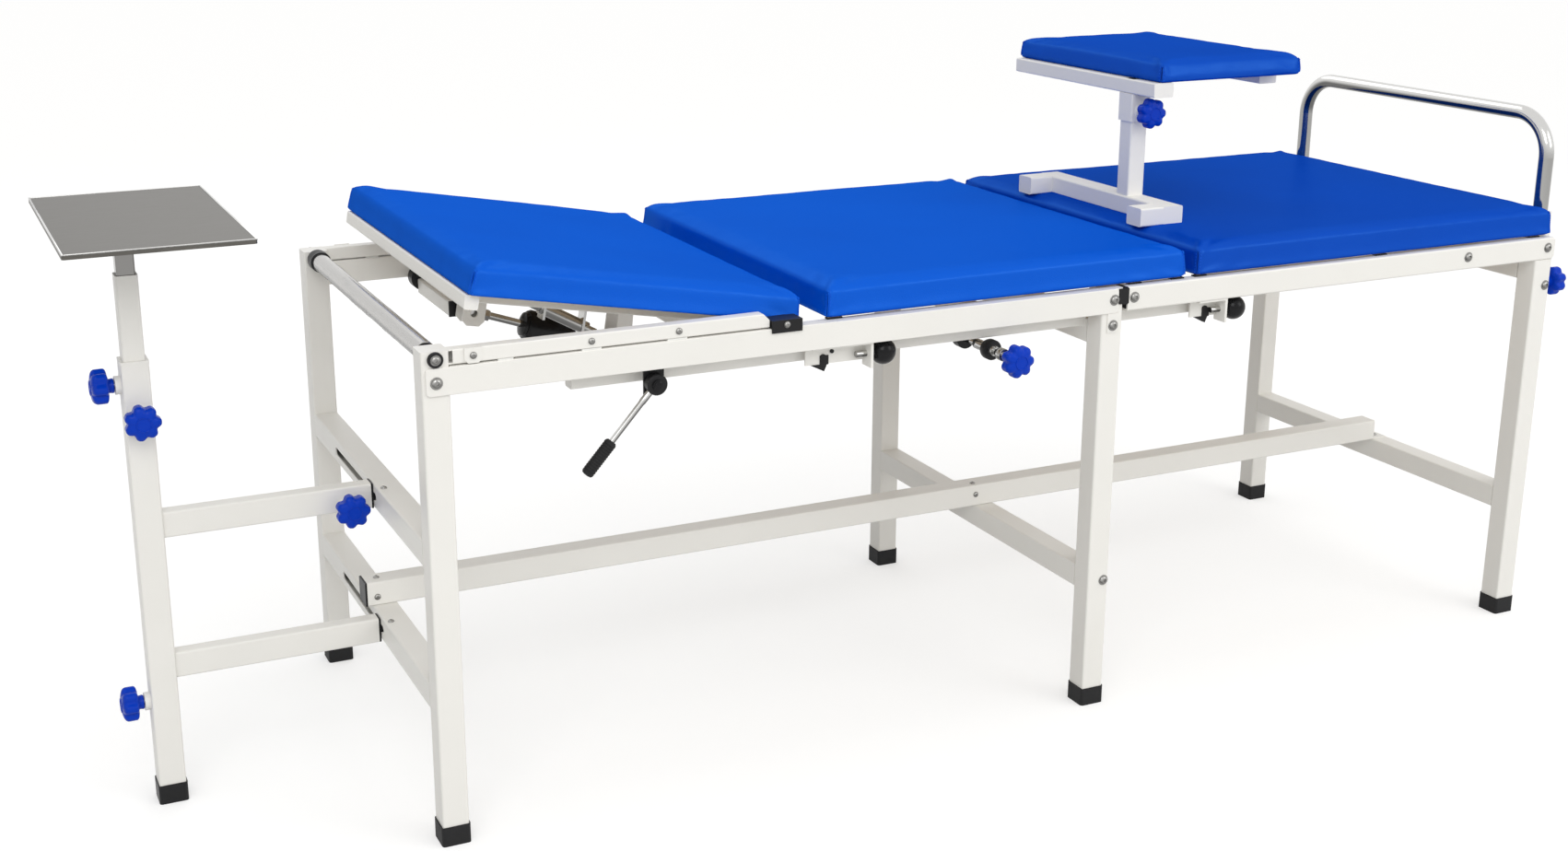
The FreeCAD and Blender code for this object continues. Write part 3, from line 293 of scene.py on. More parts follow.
def film_material():
    """Clear protective film: all but unseen, with painted white highlights on its creases"""
    material, tree, shader = new_material("clear_film", (0.9, 0.9, 0.89), 0.2)
    folds = cloud(tree, 14.0, 3.0, (1, 0.4, 1))
    # Painted highlight: the white film turns half opaque where the folds peak
    span = {"Value": folds, "From Min": 0.54, "From Max": 0.7, "To Min": 0.03, "To Max": 0.5}
    painted_crease_highlight = wire(tree, "ShaderNodeMapRange", span, interpolation_type="SMOOTHSTEP").outputs[0]
    tree.links.new(painted_crease_highlight, shader.inputs["Alpha"])
    add_bump(tree, shader, folds, 0.8, 0.002)
    return material


def tray_material():
    material, tree, shader = new_material("tray_steel", (0.125, 0.119, 0.107), 0.42, 1.0)
    lines = cloud(tree, 30.0, 6.0, (1.0, 26.0, 1.0))
    tint(tree, shader, lines, (0.1, 0.095, 0.086), (0.155, 0.148, 0.135))
    vary(tree, shader, "Roughness", lines, 0.34, 0.5)
    add_bump(tree, shader, lines, 0.06, 0.0002)
    return material


def wood_material():
    material, tree, shader = new_material("board_wood", (0.52, 0.4, 0.27), 0.7)
    grain = cloud(tree, 9.0, 6.0, (0.4, 6.0, 6.0))
    tint(tree, shader, grain, (0.42, 0.31, 0.2), (0.62, 0.5, 0.36))
    add_bump(tree, shader, grain, 0.2, 0.0005)
    return material


MATERIALS = {}


def make_materials():
    MATERIALS.update(
        frame_paint=paint_material(),
        blue_leather=leather_material("blue_leather", (0.0, 0.088, 0.62), (0.0, 0.073, 0.55)),
        # A darker copy of the blue leather: painted shade on the right cushion and the stool
        deep_leather=leather_material("deep_leather", (0.0, 0.052, 0.47), (0.0, 0.042, 0.41)),
        seam_shadow=plastic_material("seam_shadow", (0.0, 0.02, 0.16), 0.8),
        blue_thread=plastic_material("blue_thread", (0.004, 0.11, 0.7), 0.6),
        black_plastic=plastic_material("black_plastic", (0.013, 0.013, 0.014), 0.38),
        rubber=plastic_material("rubber", (0.018, 0.018, 0.019), 0.6, 500.0, 0.25),
        white_plastic=plastic_material("white_plastic", (0.8, 0.8, 0.78), 0.35),
        # Bolt steel and chrome carry a painted dark reflection on sides that face the ground
        bolt_steel=steel_material("bolt_steel", (0.42, 0.415, 0.4), 0.3, (1, 1, 1), painted_reflection_share=0.4),
        chrome=steel_material("chrome", (0.66, 0.655, 0.64), 0.12, (1, 0.15, 1), spread=0.05, painted_reflection_share=0.2),
        # A darker copy of chrome, nearly black below, as a painted dark reflection on the roller and the tray
        # post
        dark_steel=steel_material("dark_steel", (0.5, 0.49, 0.475), 0.16, (1, 0.15, 1), spread=0.06,
                                  painted_reflection_share=0.06),
        clear_film=film_material(),
        black_metal=plastic_material("black_metal", (0.008, 0.008, 0.009), 0.22, 120.0, 0.2),
        black_gloss=plastic_material("black_gloss", (0.006, 0.006, 0.007), 0.16, 80.0, 0.05),
        blue_gloss=plastic_material("blue_gloss", (0.001, 0.04, 0.47), 0.24, 160.0, 0.06, 0.12),
        board_wood=wood_material(),
        tray_steel=tray_material(),
    )


# Geometry Nodes


def new_group(name, inputs):
    """A geometry node group with named inputs; returns the tree, its input node and its output node"""
    tree = bpy.data.node_groups.new(name, "GeometryNodeTree")
    tree.interface.new_socket("Geometry", in_out="INPUT", socket_type="NodeSocketGeometry")
    for label, (kind, value) in inputs.items():
        socket = tree.interface.new_socket(label, in_out="INPUT", socket_type="NodeSocket" + kind)
        if value is not None:
            socket.default_value = value
    tree.interface.new_socket("Geometry", in_out="OUTPUT", socket_type="NodeSocketGeometry")
    return tree, tree.nodes.new("NodeGroupInput"), tree.nodes.new("NodeGroupOutput")


def close_group(tree, given, result, out):
    """End a group with real geometry and its material"""
    real = wire(tree, "GeometryNodeRealizeInstances", {"Geometry": result})
    painted = wire(tree, "GeometryNodeSetMaterial", {"Geometry": real.outputs[0],
                                                     "Material": given.outputs["Material"]})
    tree.links.new(painted.outputs[0], out.inputs[0])
    return tree


def turned_nodes(tree, height, radius, points, start=0.0, steps=48, outline=None, rings=28):
    """A turned form in nodes: a line along Z whose radius follows a curve of factor and share"""
    low = wire(tree, "ShaderNodeCombineXYZ", {"Z": start}).outputs[0]
    high = wire(tree, "ShaderNodeCombineXYZ", {"Z": maths(tree, "ADD", start, height)}).outputs[0]
    line = wire(tree, "GeometryNodeCurvePrimitiveLine", {"Start": low, "End": high}).outputs[0]
    line = wire(tree, "GeometryNodeResampleCurve", {"Curve": line, "Count": rings}).outputs[0]
    factor = wire(tree, "GeometryNodeSplineParameter").outputs["Factor"]
    shape = wire(tree, "ShaderNodeFloatCurve", {"Value": factor})
    curve = shape.mapping.curves[0]
    while len(curve.points) > 2:
        curve.points.remove(curve.points[1])
    curve.points[0].location, curve.points[1].location = points[0], points[-1]
    for point in points[1:-1]:
        curve.points.new(*point)
    for point in curve.points:
        point.handle_type = "AUTO_CLAMPED"
    shape.mapping.update()
    line = wire(tree, "GeometryNodeSetCurveRadius", {"Curve": line, "Radius": shape.outputs[0]}).outputs[0]
    if outline is None:
        circle = {"Resolution": steps, "Radius": radius}
        outline = wire(tree, "GeometryNodeCurvePrimitiveCircle", circle).outputs[0]
    sweep = {"Curve": line, "Profile Curve": outline, "Fill Caps": True}
    solid = wire(tree, "GeometryNodeCurveToMesh", sweep)
    if "Scale" in solid.inputs:
        tree.links.new(shape.outputs[0], solid.inputs["Scale"])
    return solid.outputs[0]


def knob_group():
    """Hand knob with rounded lobes round a domed head, a neck and a plain ring at its centre"""
    tree, given, out = new_group("LobedKnob", {
        "Radius": ("Float", 0.025), "Lobe Depth": ("Float", 0.17), "Lobes": ("Int", 7),
        "Height": ("Float", 0.023), "Neck Radius": ("Float", 0.011), "Neck Length": ("Float", 0.008),
        "Material": ("Material", None)})
    radius, height = given.outputs["Radius"], given.outputs["Height"]
    ring = wire(tree, "GeometryNodeCurvePrimitiveCircle", {"Resolution": 140, "Radius": radius}).outputs[0]
    position = wire(tree, "GeometryNodeInputPosition").outputs[0]
    parts = wire(tree, "ShaderNodeSeparateXYZ", {0: position})
    angle = maths(tree, "ARCTAN2", parts.outputs[1], parts.outputs[0])
    wave = maths(tree, "COSINE", maths(tree, "MULTIPLY", angle, given.outputs["Lobes"]))
    hollow = maths(tree, "POWER", maths(tree, "MULTIPLY_ADD", wave, -0.5, 0.5), 1.7)
    share = maths(tree, "SUBTRACT", 1.0, maths(tree, "MULTIPLY", hollow, given.outputs["Lobe Depth"]))
    scaled = wire(tree, "ShaderNodeVectorMath", {0: position, "Scale": share}, operation="SCALE").outputs[0]
    outline = wire(tree, "GeometryNodeSetPosition", {"Geometry": ring, "Position": scaled}).outputs[0]
    head = turned_nodes(tree, height, radius, [(0, 0.7), (0.05, 0.88), (0.14, 0.985), (0.3, 1.0), (0.62, 1.0),
                                               (0.8, 0.95), (0.9, 0.84), (0.96, 0.68), (1.0, 0.48)],
                        start=given.outputs["Neck Length"], outline=outline)
    neck_height = maths(tree, "ADD", given.outputs["Neck Length"], 0.004)
    neck = turned_nodes(tree, neck_height, given.outputs["Neck Radius"],
                        [(0, 0.82), (0.12, 0.95), (0.5, 0.9), (1.0, 1.25)])
    top = maths(tree, "ADD", given.outputs["Neck Length"], height)
    rim = wire(tree, "GeometryNodeCurvePrimitiveCircle",
               {"Resolution": 48, "Radius": maths(tree, "MULTIPLY", radius, 0.4)}).outputs[0]
    bead = wire(tree, "GeometryNodeCurvePrimitiveCircle", {"Resolution": 10, "Radius": 0.0009}).outputs[0]
    bead = wire(tree, "GeometryNodeCurveToMesh", {"Curve": rim, "Profile Curve": bead}).outputs[0]
    lift = wire(tree, "ShaderNodeCombineXYZ", {"Z": top}).outputs[0]
    bead = wire(tree, "GeometryNodeTransform", {"Geometry": bead, "Translation": lift}).outputs[0]
    joined = wire(tree, "GeometryNodeJoinGeometry")
    for piece in (head, neck, bead):
        tree.links.new(piece, joined.inputs[0])
    smooth = wire(tree, "GeometryNodeSetShadeSmooth", {"Geometry": joined.outputs[0]}).outputs[0]
    return close_group(tree, given, smooth, out)


def fastener_group():
    """Domed heads with a socket and a washer, one at each point along its own direction"""
    tree, given, out = new_group("Fasteners", {
        "Head Radius": ("Float", 0.007), "Head Height": ("Float", 0.004), "Socket Radius": ("Float", 0.0036),
        "Socket Sides": ("Int", 6), "Washer Radius": ("Float", 0.009), "Material": ("Material", None)})
    radius, height = given.outputs["Head Radius"], given.outputs["Head Height"]
    dome = turned_nodes(tree, height, radius, [(0, 1.0), (0.3, 1.0), (0.55, 0.93), (0.8, 0.78), (1.0, 0.56)],
                        start=0.0006, steps=32, rings=9)
    depth = maths(tree, "MULTIPLY", height, 1.1)
    hole = {"Vertices": given.outputs["Socket Sides"], "Radius": given.outputs["Socket Radius"],
            "Depth": depth}
    socket = wire(tree, "GeometryNodeMeshCylinder", hole)
    lift = wire(tree, "ShaderNodeCombineXYZ", {"Z": maths(tree, "MULTIPLY", height, 1.2)}).outputs[0]
    socket = wire(tree, "GeometryNodeTransform", {"Geometry": socket.outputs[0], "Translation": lift})
    head = wire(tree, "GeometryNodeMeshBoolean", operation="DIFFERENCE")
    tree.links.new(dome, head.inputs[0])
    tree.links.new(socket.outputs[0], head.inputs[1])
    washer = turned_nodes(tree, 0.001, given.outputs["Washer Radius"], [(0, 1.0), (0.6, 1.0), (1.0, 0.95)],
                          steps=32, rings=4)
    joined = wire(tree, "GeometryNodeJoinGeometry")
    tree.links.new(head.outputs[0], joined.inputs[0])
    tree.links.new(washer, joined.inputs[0])
    way = wire(tree, "GeometryNodeInputNamedAttribute", {"Name": "way"}, data_type="FLOAT_VECTOR").outputs[0]
    turn = wire(tree, "FunctionNodeAlignRotationToVector", {"Vector": way}, axis="Z").outputs[0]
    placed = wire(tree, "GeometryNodeInstanceOnPoints", {"Points": given.outputs["Geometry"],
                                                         "Instance": joined.outputs[0], "Rotation": turn})
    return close_group(tree, given, placed.outputs[0], out)


def stitch_group():
    """Short thread stitches set at even steps along the edges of a mesh"""
    tree, given, out = new_group("Stitches", {
        "Pitch": ("Float", 0.0045), "Stitch Length": ("Float", 0.0016), "Thickness": ("Float", 0.0005),
        "Material": ("Material", None)})
    curve = wire(tree, "GeometryNodeMeshToCurve", {"Mesh": given.outputs["Geometry"]}).outputs[0]
    pitch = {"Curve": curve, "Length": given.outputs["Pitch"]}
    steps = wire(tree, "GeometryNodeResampleCurve", pitch, mode="LENGTH")
    tangent = wire(tree, "GeometryNodeInputTangent").outputs[0]
    turn = wire(tree, "FunctionNodeAlignRotationToVector", {"Vector": tangent}, axis="Z").outputs[0]
    thread = wire(tree, "GeometryNodeMeshUVSphere", {"Segments": 8, "Rings": 6, "Radius": 1.0}).outputs[0]
    size = wire(tree, "ShaderNodeCombineXYZ", {0: given.outputs["Thickness"], 1: given.outputs["Thickness"],
                                               2: given.outputs["Stitch Length"]}).outputs[0]
    placed = wire(tree, "GeometryNodeInstanceOnPoints", {"Points": steps.outputs[0], "Instance": thread,
                                                         "Rotation": turn, "Scale": size})
    smooth = wire(tree, "GeometryNodeSetShadeSmooth", {"Geometry": placed.outputs[0]}).outputs[0]
    return close_group(tree, given, smooth, out)


def grow_nodes(obj, tree, **values):
    """Run a node group on an object with plain values for its inputs, and keep the mesh"""
    modifier = obj.modifiers.new("Nodes", "NODES")
    modifier.node_group = tree
    for item in tree.interface.items_tree:
        if item.item_type == "SOCKET" and item.in_out == "INPUT" and item.name.replace(" ", "_") in values:
            modifier[item.identifier] = values[item.name.replace(" ", "_")]
    evaluated(obj)
    obj.data.materials.clear()
    obj.data.materials.append(values["Material"])
    obj.data.polygons.foreach_set("material_index", [0] * len(obj.data.polygons))
    return obj


def at_points(name, spots, tree, **values):
    """Points with directions, grown into pieces by a node group"""
    base = mesh_object(name, [Vector(spot) for spot, _ in spots], [], smooth=False)
    attribute = base.data.attributes.new("way", "FLOAT_VECTOR", "POINT")
    for i, (_, way) in enumerate(spots):
        attribute.data[i].vector = way
    return grow_nodes(base, tree, **values)


# Cushions


CLOTH_FRAMES = 20


def pad_block(name, low, high):
    """The cut foam before it is covered: a block with soft top and corner edges, in millimetres"""
    bm = bmesh.new()
    bmesh.ops.create_cube(bm, size=1)
    size = Vector(high) - Vector(low)
    middle = (Vector(high) + Vector(low)) / 2
    for vert in bm.verts:
        vert.co = Vector((vert.co.x * size.x, vert.co.y * size.y, vert.co.z * size.z)) + middle
    top = high[2]
    upright = [e for e in bm.edges if abs(e.verts[0].co.z - e.verts[1].co.z) > 1]
    bmesh.ops.bevel(bm, geom=upright, offset=7, segments=4, profile=0.5, affect="EDGES")
    rim = [e for e in bm.edges if min(v.co.z for v in e.verts) > top - 0.1]
    bmesh.ops.bevel(bm, geom=rim, offset=8, segments=5, profile=0.5, affect="EDGES")
    foot = [e for e in bm.edges if max(v.co.z for v in e.verts) < low[2] + 0.1]
    bmesh.ops.bevel(bm, geom=foot, offset=4, segments=2, profile=0.5, affect="EDGES")
    bmesh.ops.scale(bm, vec=(MM, MM, MM), verts=bm.verts)
    return from_bmesh(name, bm, MATERIALS["blue_leather"])


def swell(obj, base, cap):
    """Blow the cover up a little with cloth, its underside held, and cap how far a point may move"""
    start = [vert.co.copy() for vert in obj.data.vertices]
    held = obj.vertex_groups.new(name="held")
    held.add([i for i, co in enumerate(start) if co.z < base + 0.004], 1.0, "REPLACE")
    cloth = obj.modifiers.new("Cloth", "CLOTH")
    settings = cloth.settings
    settings.quality = 5
    settings.mass = 0.4
    settings.use_pressure = True
    settings.uniform_pressure_force = 4.0
    settings.tension_stiffness = settings.compression_stiffness = 25
    settings.bending_stiffness = 8
    settings.vertex_group_mass = "held"
    settings.effector_weights.gravity = 0
    cloth.collision_settings.use_collision = False
    cloth.point_cache.frame_start, cloth.point_cache.frame_end = 1, CLOTH_FRAMES
    scene = bpy.context.scene
    for number in range(1, CLOTH_FRAMES + 1):
        scene.frame_set(number)
    evaluated(obj)
    scene.frame_set(1)
    for vert, before in zip(obj.data.vertices, start):
        move = vert.co - before
        if move.length > 1e-7:
            vert.co = before + move.normalized() * cap * math.tanh(move.length / cap)


def soften_cover(obj, low, high):
    """Small folds of the cover near the corners and along the top edges"""
    low, high = Vector(low) * MM, Vector(high) * MM
    for vert, normal in zip(obj.data.vertices, [n.vector.copy() for n in obj.data.vertex_normals]):
        co = vert.co
        if co.z < low.z + 0.004:
            continue
        side_x = min(co.x - low.x, high.x - co.x)
        side_y = min(co.y - low.y, high.y - co.y)
        corner = math.exp(-(max(side_x, 0) + max(side_y, 0)) / 0.07)
        edge = math.exp(-max(min(side_x, side_y), 0) / 0.03)
        ripple = noise.noise(Vector((co.x * 38, co.y * 38, co.z * 20)))
        broad = noise.noise(Vector((co.x * 6, co.y * 6, 3.1)))
        vert.co = co + normal * (0.0016 * corner * ripple + 0.0009 * edge * ripple + 0.0007 * broad)


def on_surface(tree, point, lift):
    """The spot of a cover nearest to a point, lifted off it in millimetres"""
    spot, normal, _, _ = tree.find_nearest(point)
    return spot + normal * lift * MM


SEAM = ((-4.8, -0.1), (-3.6, 1.1), (-2.3, 1.8), (-1.1, 1.3), (-0.9, 0.2), (0.9, 0.2), (1.1, 1.3), (2.3, 1.8),
        (3.6, 1.1), (4.8, -0.1))
STITCH_LINES = ((-7.2, 0.2), (7.2, 0.2))
KNOT = [(0.8, 0), (1.9, 0), (2.7, 0.7), (2.5, 1.5), (1.7, 1.9), (0.8, 1.2)]


def corner_seams(name, obj, low, high, place):
    """Folded seams down the four corners of a cover, a line of stitches on each side and a knot on top"""
    surface = BVHTree.FromObject(obj, bpy.context.evaluated_depsgraph_get())
    low, high = Vector(low) * MM, Vector(high) * MM
    ridge_verts, ridge_faces, grooves, lines, edges, knots = [], [], [], [], [], []
    steps = 18
    for x, along in ((low.x, 1), (high.x, -1)):
        for y, over in ((low.y, 1), (high.y, -1)):
            into = Vector((along, over, 0)).normalized()
            across = Vector((-into.y, into.x, 0))
            rows = []
            for offset, lift in SEAM + STITCH_LINES:
                row = []
                for k in range(steps + 1):
                    z = low.z + 0.003 + (high.z - low.z - 0.008) * k / steps
                    row.append(place @ on_surface(surface, Vector((x, y, z)) + across * offset * MM, lift))
                rows.append(row)
            base = len(ridge_verts)
            for row in rows[:len(SEAM)]:
                ridge_verts.extend(row)
            for part in range(len(SEAM) - 1):
                grooves += [len(ridge_faces) + k for k in range(steps)] if part == len(SEAM) // 2 - 1 else []
                for k in range(steps):
                    a = base + part * (steps + 1) + k
                    ridge_faces.append((a, a + 1, a + steps + 2, a + steps + 1))
            for row in rows[len(SEAM):]:
                first = len(lines)
                lines.extend(row[:-1])
                edges.extend((first + k, first + k + 1) for k in range(steps - 1))
            middle = rows[4]
            way = place.to_3x3() @ (Vector((0, 0, 1)) - into)
            foot = middle[-1] - way.normalized() * 0.0004
            knots.append(lathe(name + "_knot", KNOT, foot, way, MATERIALS["blue_leather"], steps=16,
                               smooth_angle=70))
    fold = mesh_object(name + "_fold", ridge_verts, ridge_faces, MATERIALS["blue_leather"])
    fold.data.materials.append(MATERIALS["seam_shadow"])
    for face in grooves:
        fold.data.polygons[face].material_index = 1
    thread = mesh_object(name + "_stitches", lines, [], edges=edges, smooth=False)
    grow_nodes(thread, bpy.data.node_groups["Stitches"], Material=MATERIALS["blue_thread"])
    return [fold, thread] + knots


def cushion(node, body, low, high, voxel, cap, fill, place=None, material="blue_leather"):
    """One padded cushion over its own board: block, remesh, cloth, folds, seams"""
    place = place or Matrix.Identity(4)
    inner_low = Vector(low) + Vector((0.5, -1.5, 0))
    inner_high = Vector(high) - Vector((0.5, -1.5, 3.5))
    obj = pad_block(node + "_cover", inner_low, inner_high)
    remesh = obj.modifiers.new("Remesh", "REMESH")
    remesh.mode = "VOXEL"
    remesh.voxel_size = voxel * MM
    evaluated(obj)
    swell(obj, low[2] * MM, cap * MM)
    soften_cover(obj, low, high)
    finer = obj.modifiers.new("Subdivision", "SUBSURF")
    finer.levels = finer.render_levels = 1
    evaluated(obj)
    obj.data.materials.clear()
    obj.data.materials.append(MATERIALS[material])
    seams = corner_seams(node, obj, low, high, place)
    for item in seams[:1] + seams[2:]:
        item.data.materials[0] = MATERIALS[material]
    obj.data.transform(place)
    obj.data.shade_smooth()
    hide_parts(node)
    ride_all(body, obj, *seams)
    return obj


# Property groups


class CushionProps(bpy.types.PropertyGroup):
    """Sizes of the cushion covers"""
    voxel: FloatProperty(name="Voxel", description="Voxel size of the covers, millimetres", default=6.0,
                         min=4, max=12)
    cap: FloatProperty(name="Cap", description="How far a cover may swell, millimetres", default=5.0,
                       min=1, max=16)
    fill: FloatProperty(name="Fill", description="How tight the covers are filled", default=0.85,
                        min=0, max=1)


class KnobProps(bpy.types.PropertyGroup):
    """Sizes of the hand knobs"""
    lobes: IntProperty(name="Lobes", description="Number of lobes on a hand knob", default=7, min=3, max=12)
    radius: FloatProperty(name="Radius", description="Radius of a hand knob, millimetres", default=25.0,
                          min=10, max=40)
    depth: FloatProperty(name="Lobe depth", description="Depth of the hollows as a share", default=0.18,
                         min=0, max=0.4)


class StageProps(bpy.types.PropertyGroup):
    """Strengths of the studio light"""
    sky: FloatProperty(name="Sky", description="Strength of the surrounding light", default=1.0, min=0, max=3)
    key: FloatProperty(name="Key", description="Power of the main lamp, watts", default=45.0, min=0, max=2000)


# Operators


ROUNDED = {"hinge_saddles": 3.0, "pad_feet": 0.8, "rail_joint_blocks": 1.2, "leg_boots": 1.0}


def paint_faces(node, material, chosen):
    """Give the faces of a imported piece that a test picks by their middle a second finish"""
    mesh = NODES[node].data
    mesh.materials.append(MATERIALS[material])
    for face in mesh.polygons:
        if chosen(face.center):
            face.material_index = 1


class TABLE_OT_materials(bpy.types.Operator):
    """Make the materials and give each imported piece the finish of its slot"""
    bl_idname = "table.materials"
    bl_label = "Materials"

    def execute(self, context):
        make_materials()
        slots = {item["node"]: item["material_slot"] for item in frame["record"]["subparts"]}
        for name, obj in NODES.items():
            material = MATERIALS["tray_steel" if name == "tray_plate" else slots[name]]
            obj.data.materials.clear()
            obj.data.materials.append(material)
        paint_faces("rail_brackets", "black_plastic", lambda spot: abs(spot.x - LEVER_X) < 0.03)
        paint_faces("column_caps", "frame_paint", lambda spot: spot.z > 0.5)
        # The tray post gets the darker chrome copy with its painted dark reflection
        NODES["tray_post"].data.materials[0] = MATERIALS["dark_steel"]
        for name, wide in ROUNDED.items():
            rounding = NODES[name].modifiers.new("Bevel", "BEVEL")
            rounding.width, rounding.segments = wide * MM, 2
            rounding.limit_method, rounding.angle_limit = "ANGLE", math.radians(50)
        knob_group()
        fastener_group()
        stitch_group()
        return {"FINISHED"}


CUSHIONS = (
    ("middle_cushion", "frame", (572, -11, 691.2), (1204, 689, 740), None, "blue_leather"),
    # The right cushion and the stool take the darker leather copy as painted shade
    ("right_cushion", "frame", (1220, -11, 691.2), (1975, 689, 740), None, "deep_leather"),
    ("backrest_cushion", "backrest", (-461, 6, 10.2), (34, 672, 54), backrest_place(), "blue_leather"),
    ("stool_cushion", "seat", (1279, 184, 965.2), (1569, 604, 1001), None, "deep_leather"),
)


class TABLE_OT_cushions(bpy.types.Operator):
    """Build the four cushions with their covers, folds and stitching"""
    bl_idname = "table.cushions"
    bl_label = "Cushions"

    def execute(self, context):
        props = context.scene.table_cushions
        shared = (props.voxel, props.cap, props.fill)
        for node, body, low, high, place, material in CUSHIONS:
            cushion(node, body, low, high, *shared, place=place, material=material)
        return {"FINISHED"}


KNOBS = (
    ("column_knob", "upper_column_knob", (-356, 291, 629), (-1, 0, 0), 17),
    ("column_side_knob", "side_column_knob", (-337, 272, 585), (0, -1, 0), 17),
    ("column_low_knob", "lower_column_knob", (-356, 291, 157), (-1, 0, 0), 17),
    ("arm_knob", "arm_clamp_knob", (-57, 278.5, 413), (0, -1, 0), 17),
    ("clamp_knob", "rod_knob", (865, 84, 608), (0, -1, 0), 134),
    ("end_knob", "end_clamp_knob", (1973, 0, 607), (1, 0, 0), 17),
    ("stool_knob", "stool_clamp_knob", (1289, 245, 912), (0, -1, 0), 17),
)


KNOB_HEIGHT, KNOB_NECK = 23, 8
CLAMP_ROD = (
    ("_sleeve", [(7.4, 30), (8, 31), (8, 83), (7.4, 84)], "chrome"),
    ("_collar", [(9, 96), (9.6, 97), (9.6, 108), (9, 109)], "chrome"),
    ("_film", [(8.8, 33), (9.4, 40), (8.9, 52), (9.3, 66), (8.6, 82)], "clear_film"),
    ("_hub", [(11, 62), (14.4, 63), (15.6, 66), (15.6, 76), (14.6, 77.5), (8, 78)], "black_plastic"),
)


class TABLE_OT_knobs(bpy.types.Operator):
    """Build the lobed hand knobs with their studs"""
    bl_idname = "table.knobs"
    bl_label = "Hand knobs"

    def execute(self, context):
        props = context.scene.table_knobs
        tree = bpy.data.node_groups["LobedKnob"]
        for node, body, spot, way, stem in KNOBS:
            origin, way = Vector(spot) * MM, Vector(way)
            head = mesh_object(node + "_head", [(0, 0, 0)], [], smooth=False)
            grow_nodes(head, tree, Radius=props.radius * MM, Lobe_Depth=props.depth, Lobes=props.lobes,
                       Height=KNOB_HEIGHT * MM, Neck_Radius=11 * MM, Neck_Length=KNOB_NECK * MM,
                       Material=MATERIALS["blue_gloss"])
            head.data.transform(frame_at(origin + way * (stem - KNOB_NECK) * MM, way))
            stud = lathe(node + "_stud", [(5, 0.2), (5, stem - KNOB_NECK + 0.2)], origin, way,
                         MATERIALS["chrome"])
            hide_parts(node)
            ride_all(body, head, stud)
            if stem > 50:
                ride_all(body, *[lathe(node + word, profile, origin, way, MATERIALS[material])
                                 for word, profile, material in CLAMP_ROD])
        return {"FINISHED"}


def mirrored(spots):
    """Near-side spots and their mirror on the far side, in metres"""
    made = []
    for (x, y, z), way in spots:
        made.append((Vector((x, y, z)) * MM, Vector(way)))
        made.append((Vector((x, LEG_SPAN - y, z)) * MM, Vector((way[0], -way[1], way[2]))))
    return made


NEAR, UP = (0, -1, 0), (0, 0, 1)
AXLE_RING = [(8.8, 0.1), (10.6, 0.1), (10.6, 3.4), (9.9, 4.6), (8.2, 4.8), (7.2, 4.3), (7.2, 4.02),
             (8.8, 4.0)]
PULL_PIN = [(4.4, -45), (5, -44.2), (5, -23.5), (8, -23.4), (8, -20), (7, -19.6)]
ROLLER_SLEEVE = [(14.6, 622), (16.4, 624), (15.6, 633), (16.6, 641), (16.2, 650), (14.6, 652)]
FILM_BANDS = (52, 58, 47, 62, 55, 60, 50, 57, 52, 40)


class TABLE_OT_fasteners(bpy.types.Operator):
    """Build the bolt and screw heads of the frame"""
    bl_idname = "table.fasteners"
    bl_label = "Fasteners"

    def execute(self, context):
        tree = bpy.data.node_groups["Fasteners"]
        bolts = mirrored([((0, -22, 669), NEAR), ((1061, -22, 672), NEAR), ((1061, -21, 632), NEAR),
                          ((1070, -19, 213), NEAR), ((1963, -19, 606), NEAR), ((1100, -19, 672), NEAR),
                          ((1779, -19, 672), NEAR), ((1960, -19, 672), NEAR)])
        heads = at_points("frame_bolt_heads", bolts, tree, Head_Radius=6.6 * MM, Head_Height=3.6 * MM,
                          Socket_Radius=3.2 * MM, Washer_Radius=8.6 * MM, Material=MATERIALS["bolt_steel"])
        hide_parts("frame_bolts")
        screws = mirrored([((51, -21.5, 701), NEAR), ((216, -19, 701), NEAR), ((343, -19, 701), NEAR)])
        screws += mirrored([((505, -24.5, 694), NEAR)])
        screws += [(Vector(spot) * MM, Vector(way)) for spot, way in (
            ((-10, 252, 232), UP), ((-10, 252, 441), UP), ((-8, 339, 270), UP), ((1040, 331, 270), UP),
            ((-12, 320, 246), NEAR), ((1041, 320, 253), NEAR), ((1954, 339, 234), UP))]
        small = at_points("frame_screw_heads", screws, tree, Head_Radius=4.4 * MM, Head_Height=2.2 * MM,
                          Socket_Radius=1.9 * MM, Socket_Sides=4, Washer_Radius=4.9 * MM,
                          Material=MATERIALS["bolt_steel"])
        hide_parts("frame_screws")
        ride_all("frame", heads, small)
        rings = []
        for y, way in ((-19, -1), (697, 1)):
            rings.append(lathe("axle_ring", AXLE_RING, (0, y * MM, 0.7), (0, way, 0),
                               MATERIALS["black_plastic"], ring=True))
        axle = at_points("axle_heads", mirrored([((0, -23, 700), NEAR)]), tree, Head_Radius=5.6 * MM,
                         Head_Height=2.4 * MM, Socket_Radius=2.4 * MM, Washer_Radius=6.8 * MM,
                         Material=MATERIALS["bolt_steel"])
        ride_all("frame", axle, *rings)
        return {"FINISHED"}


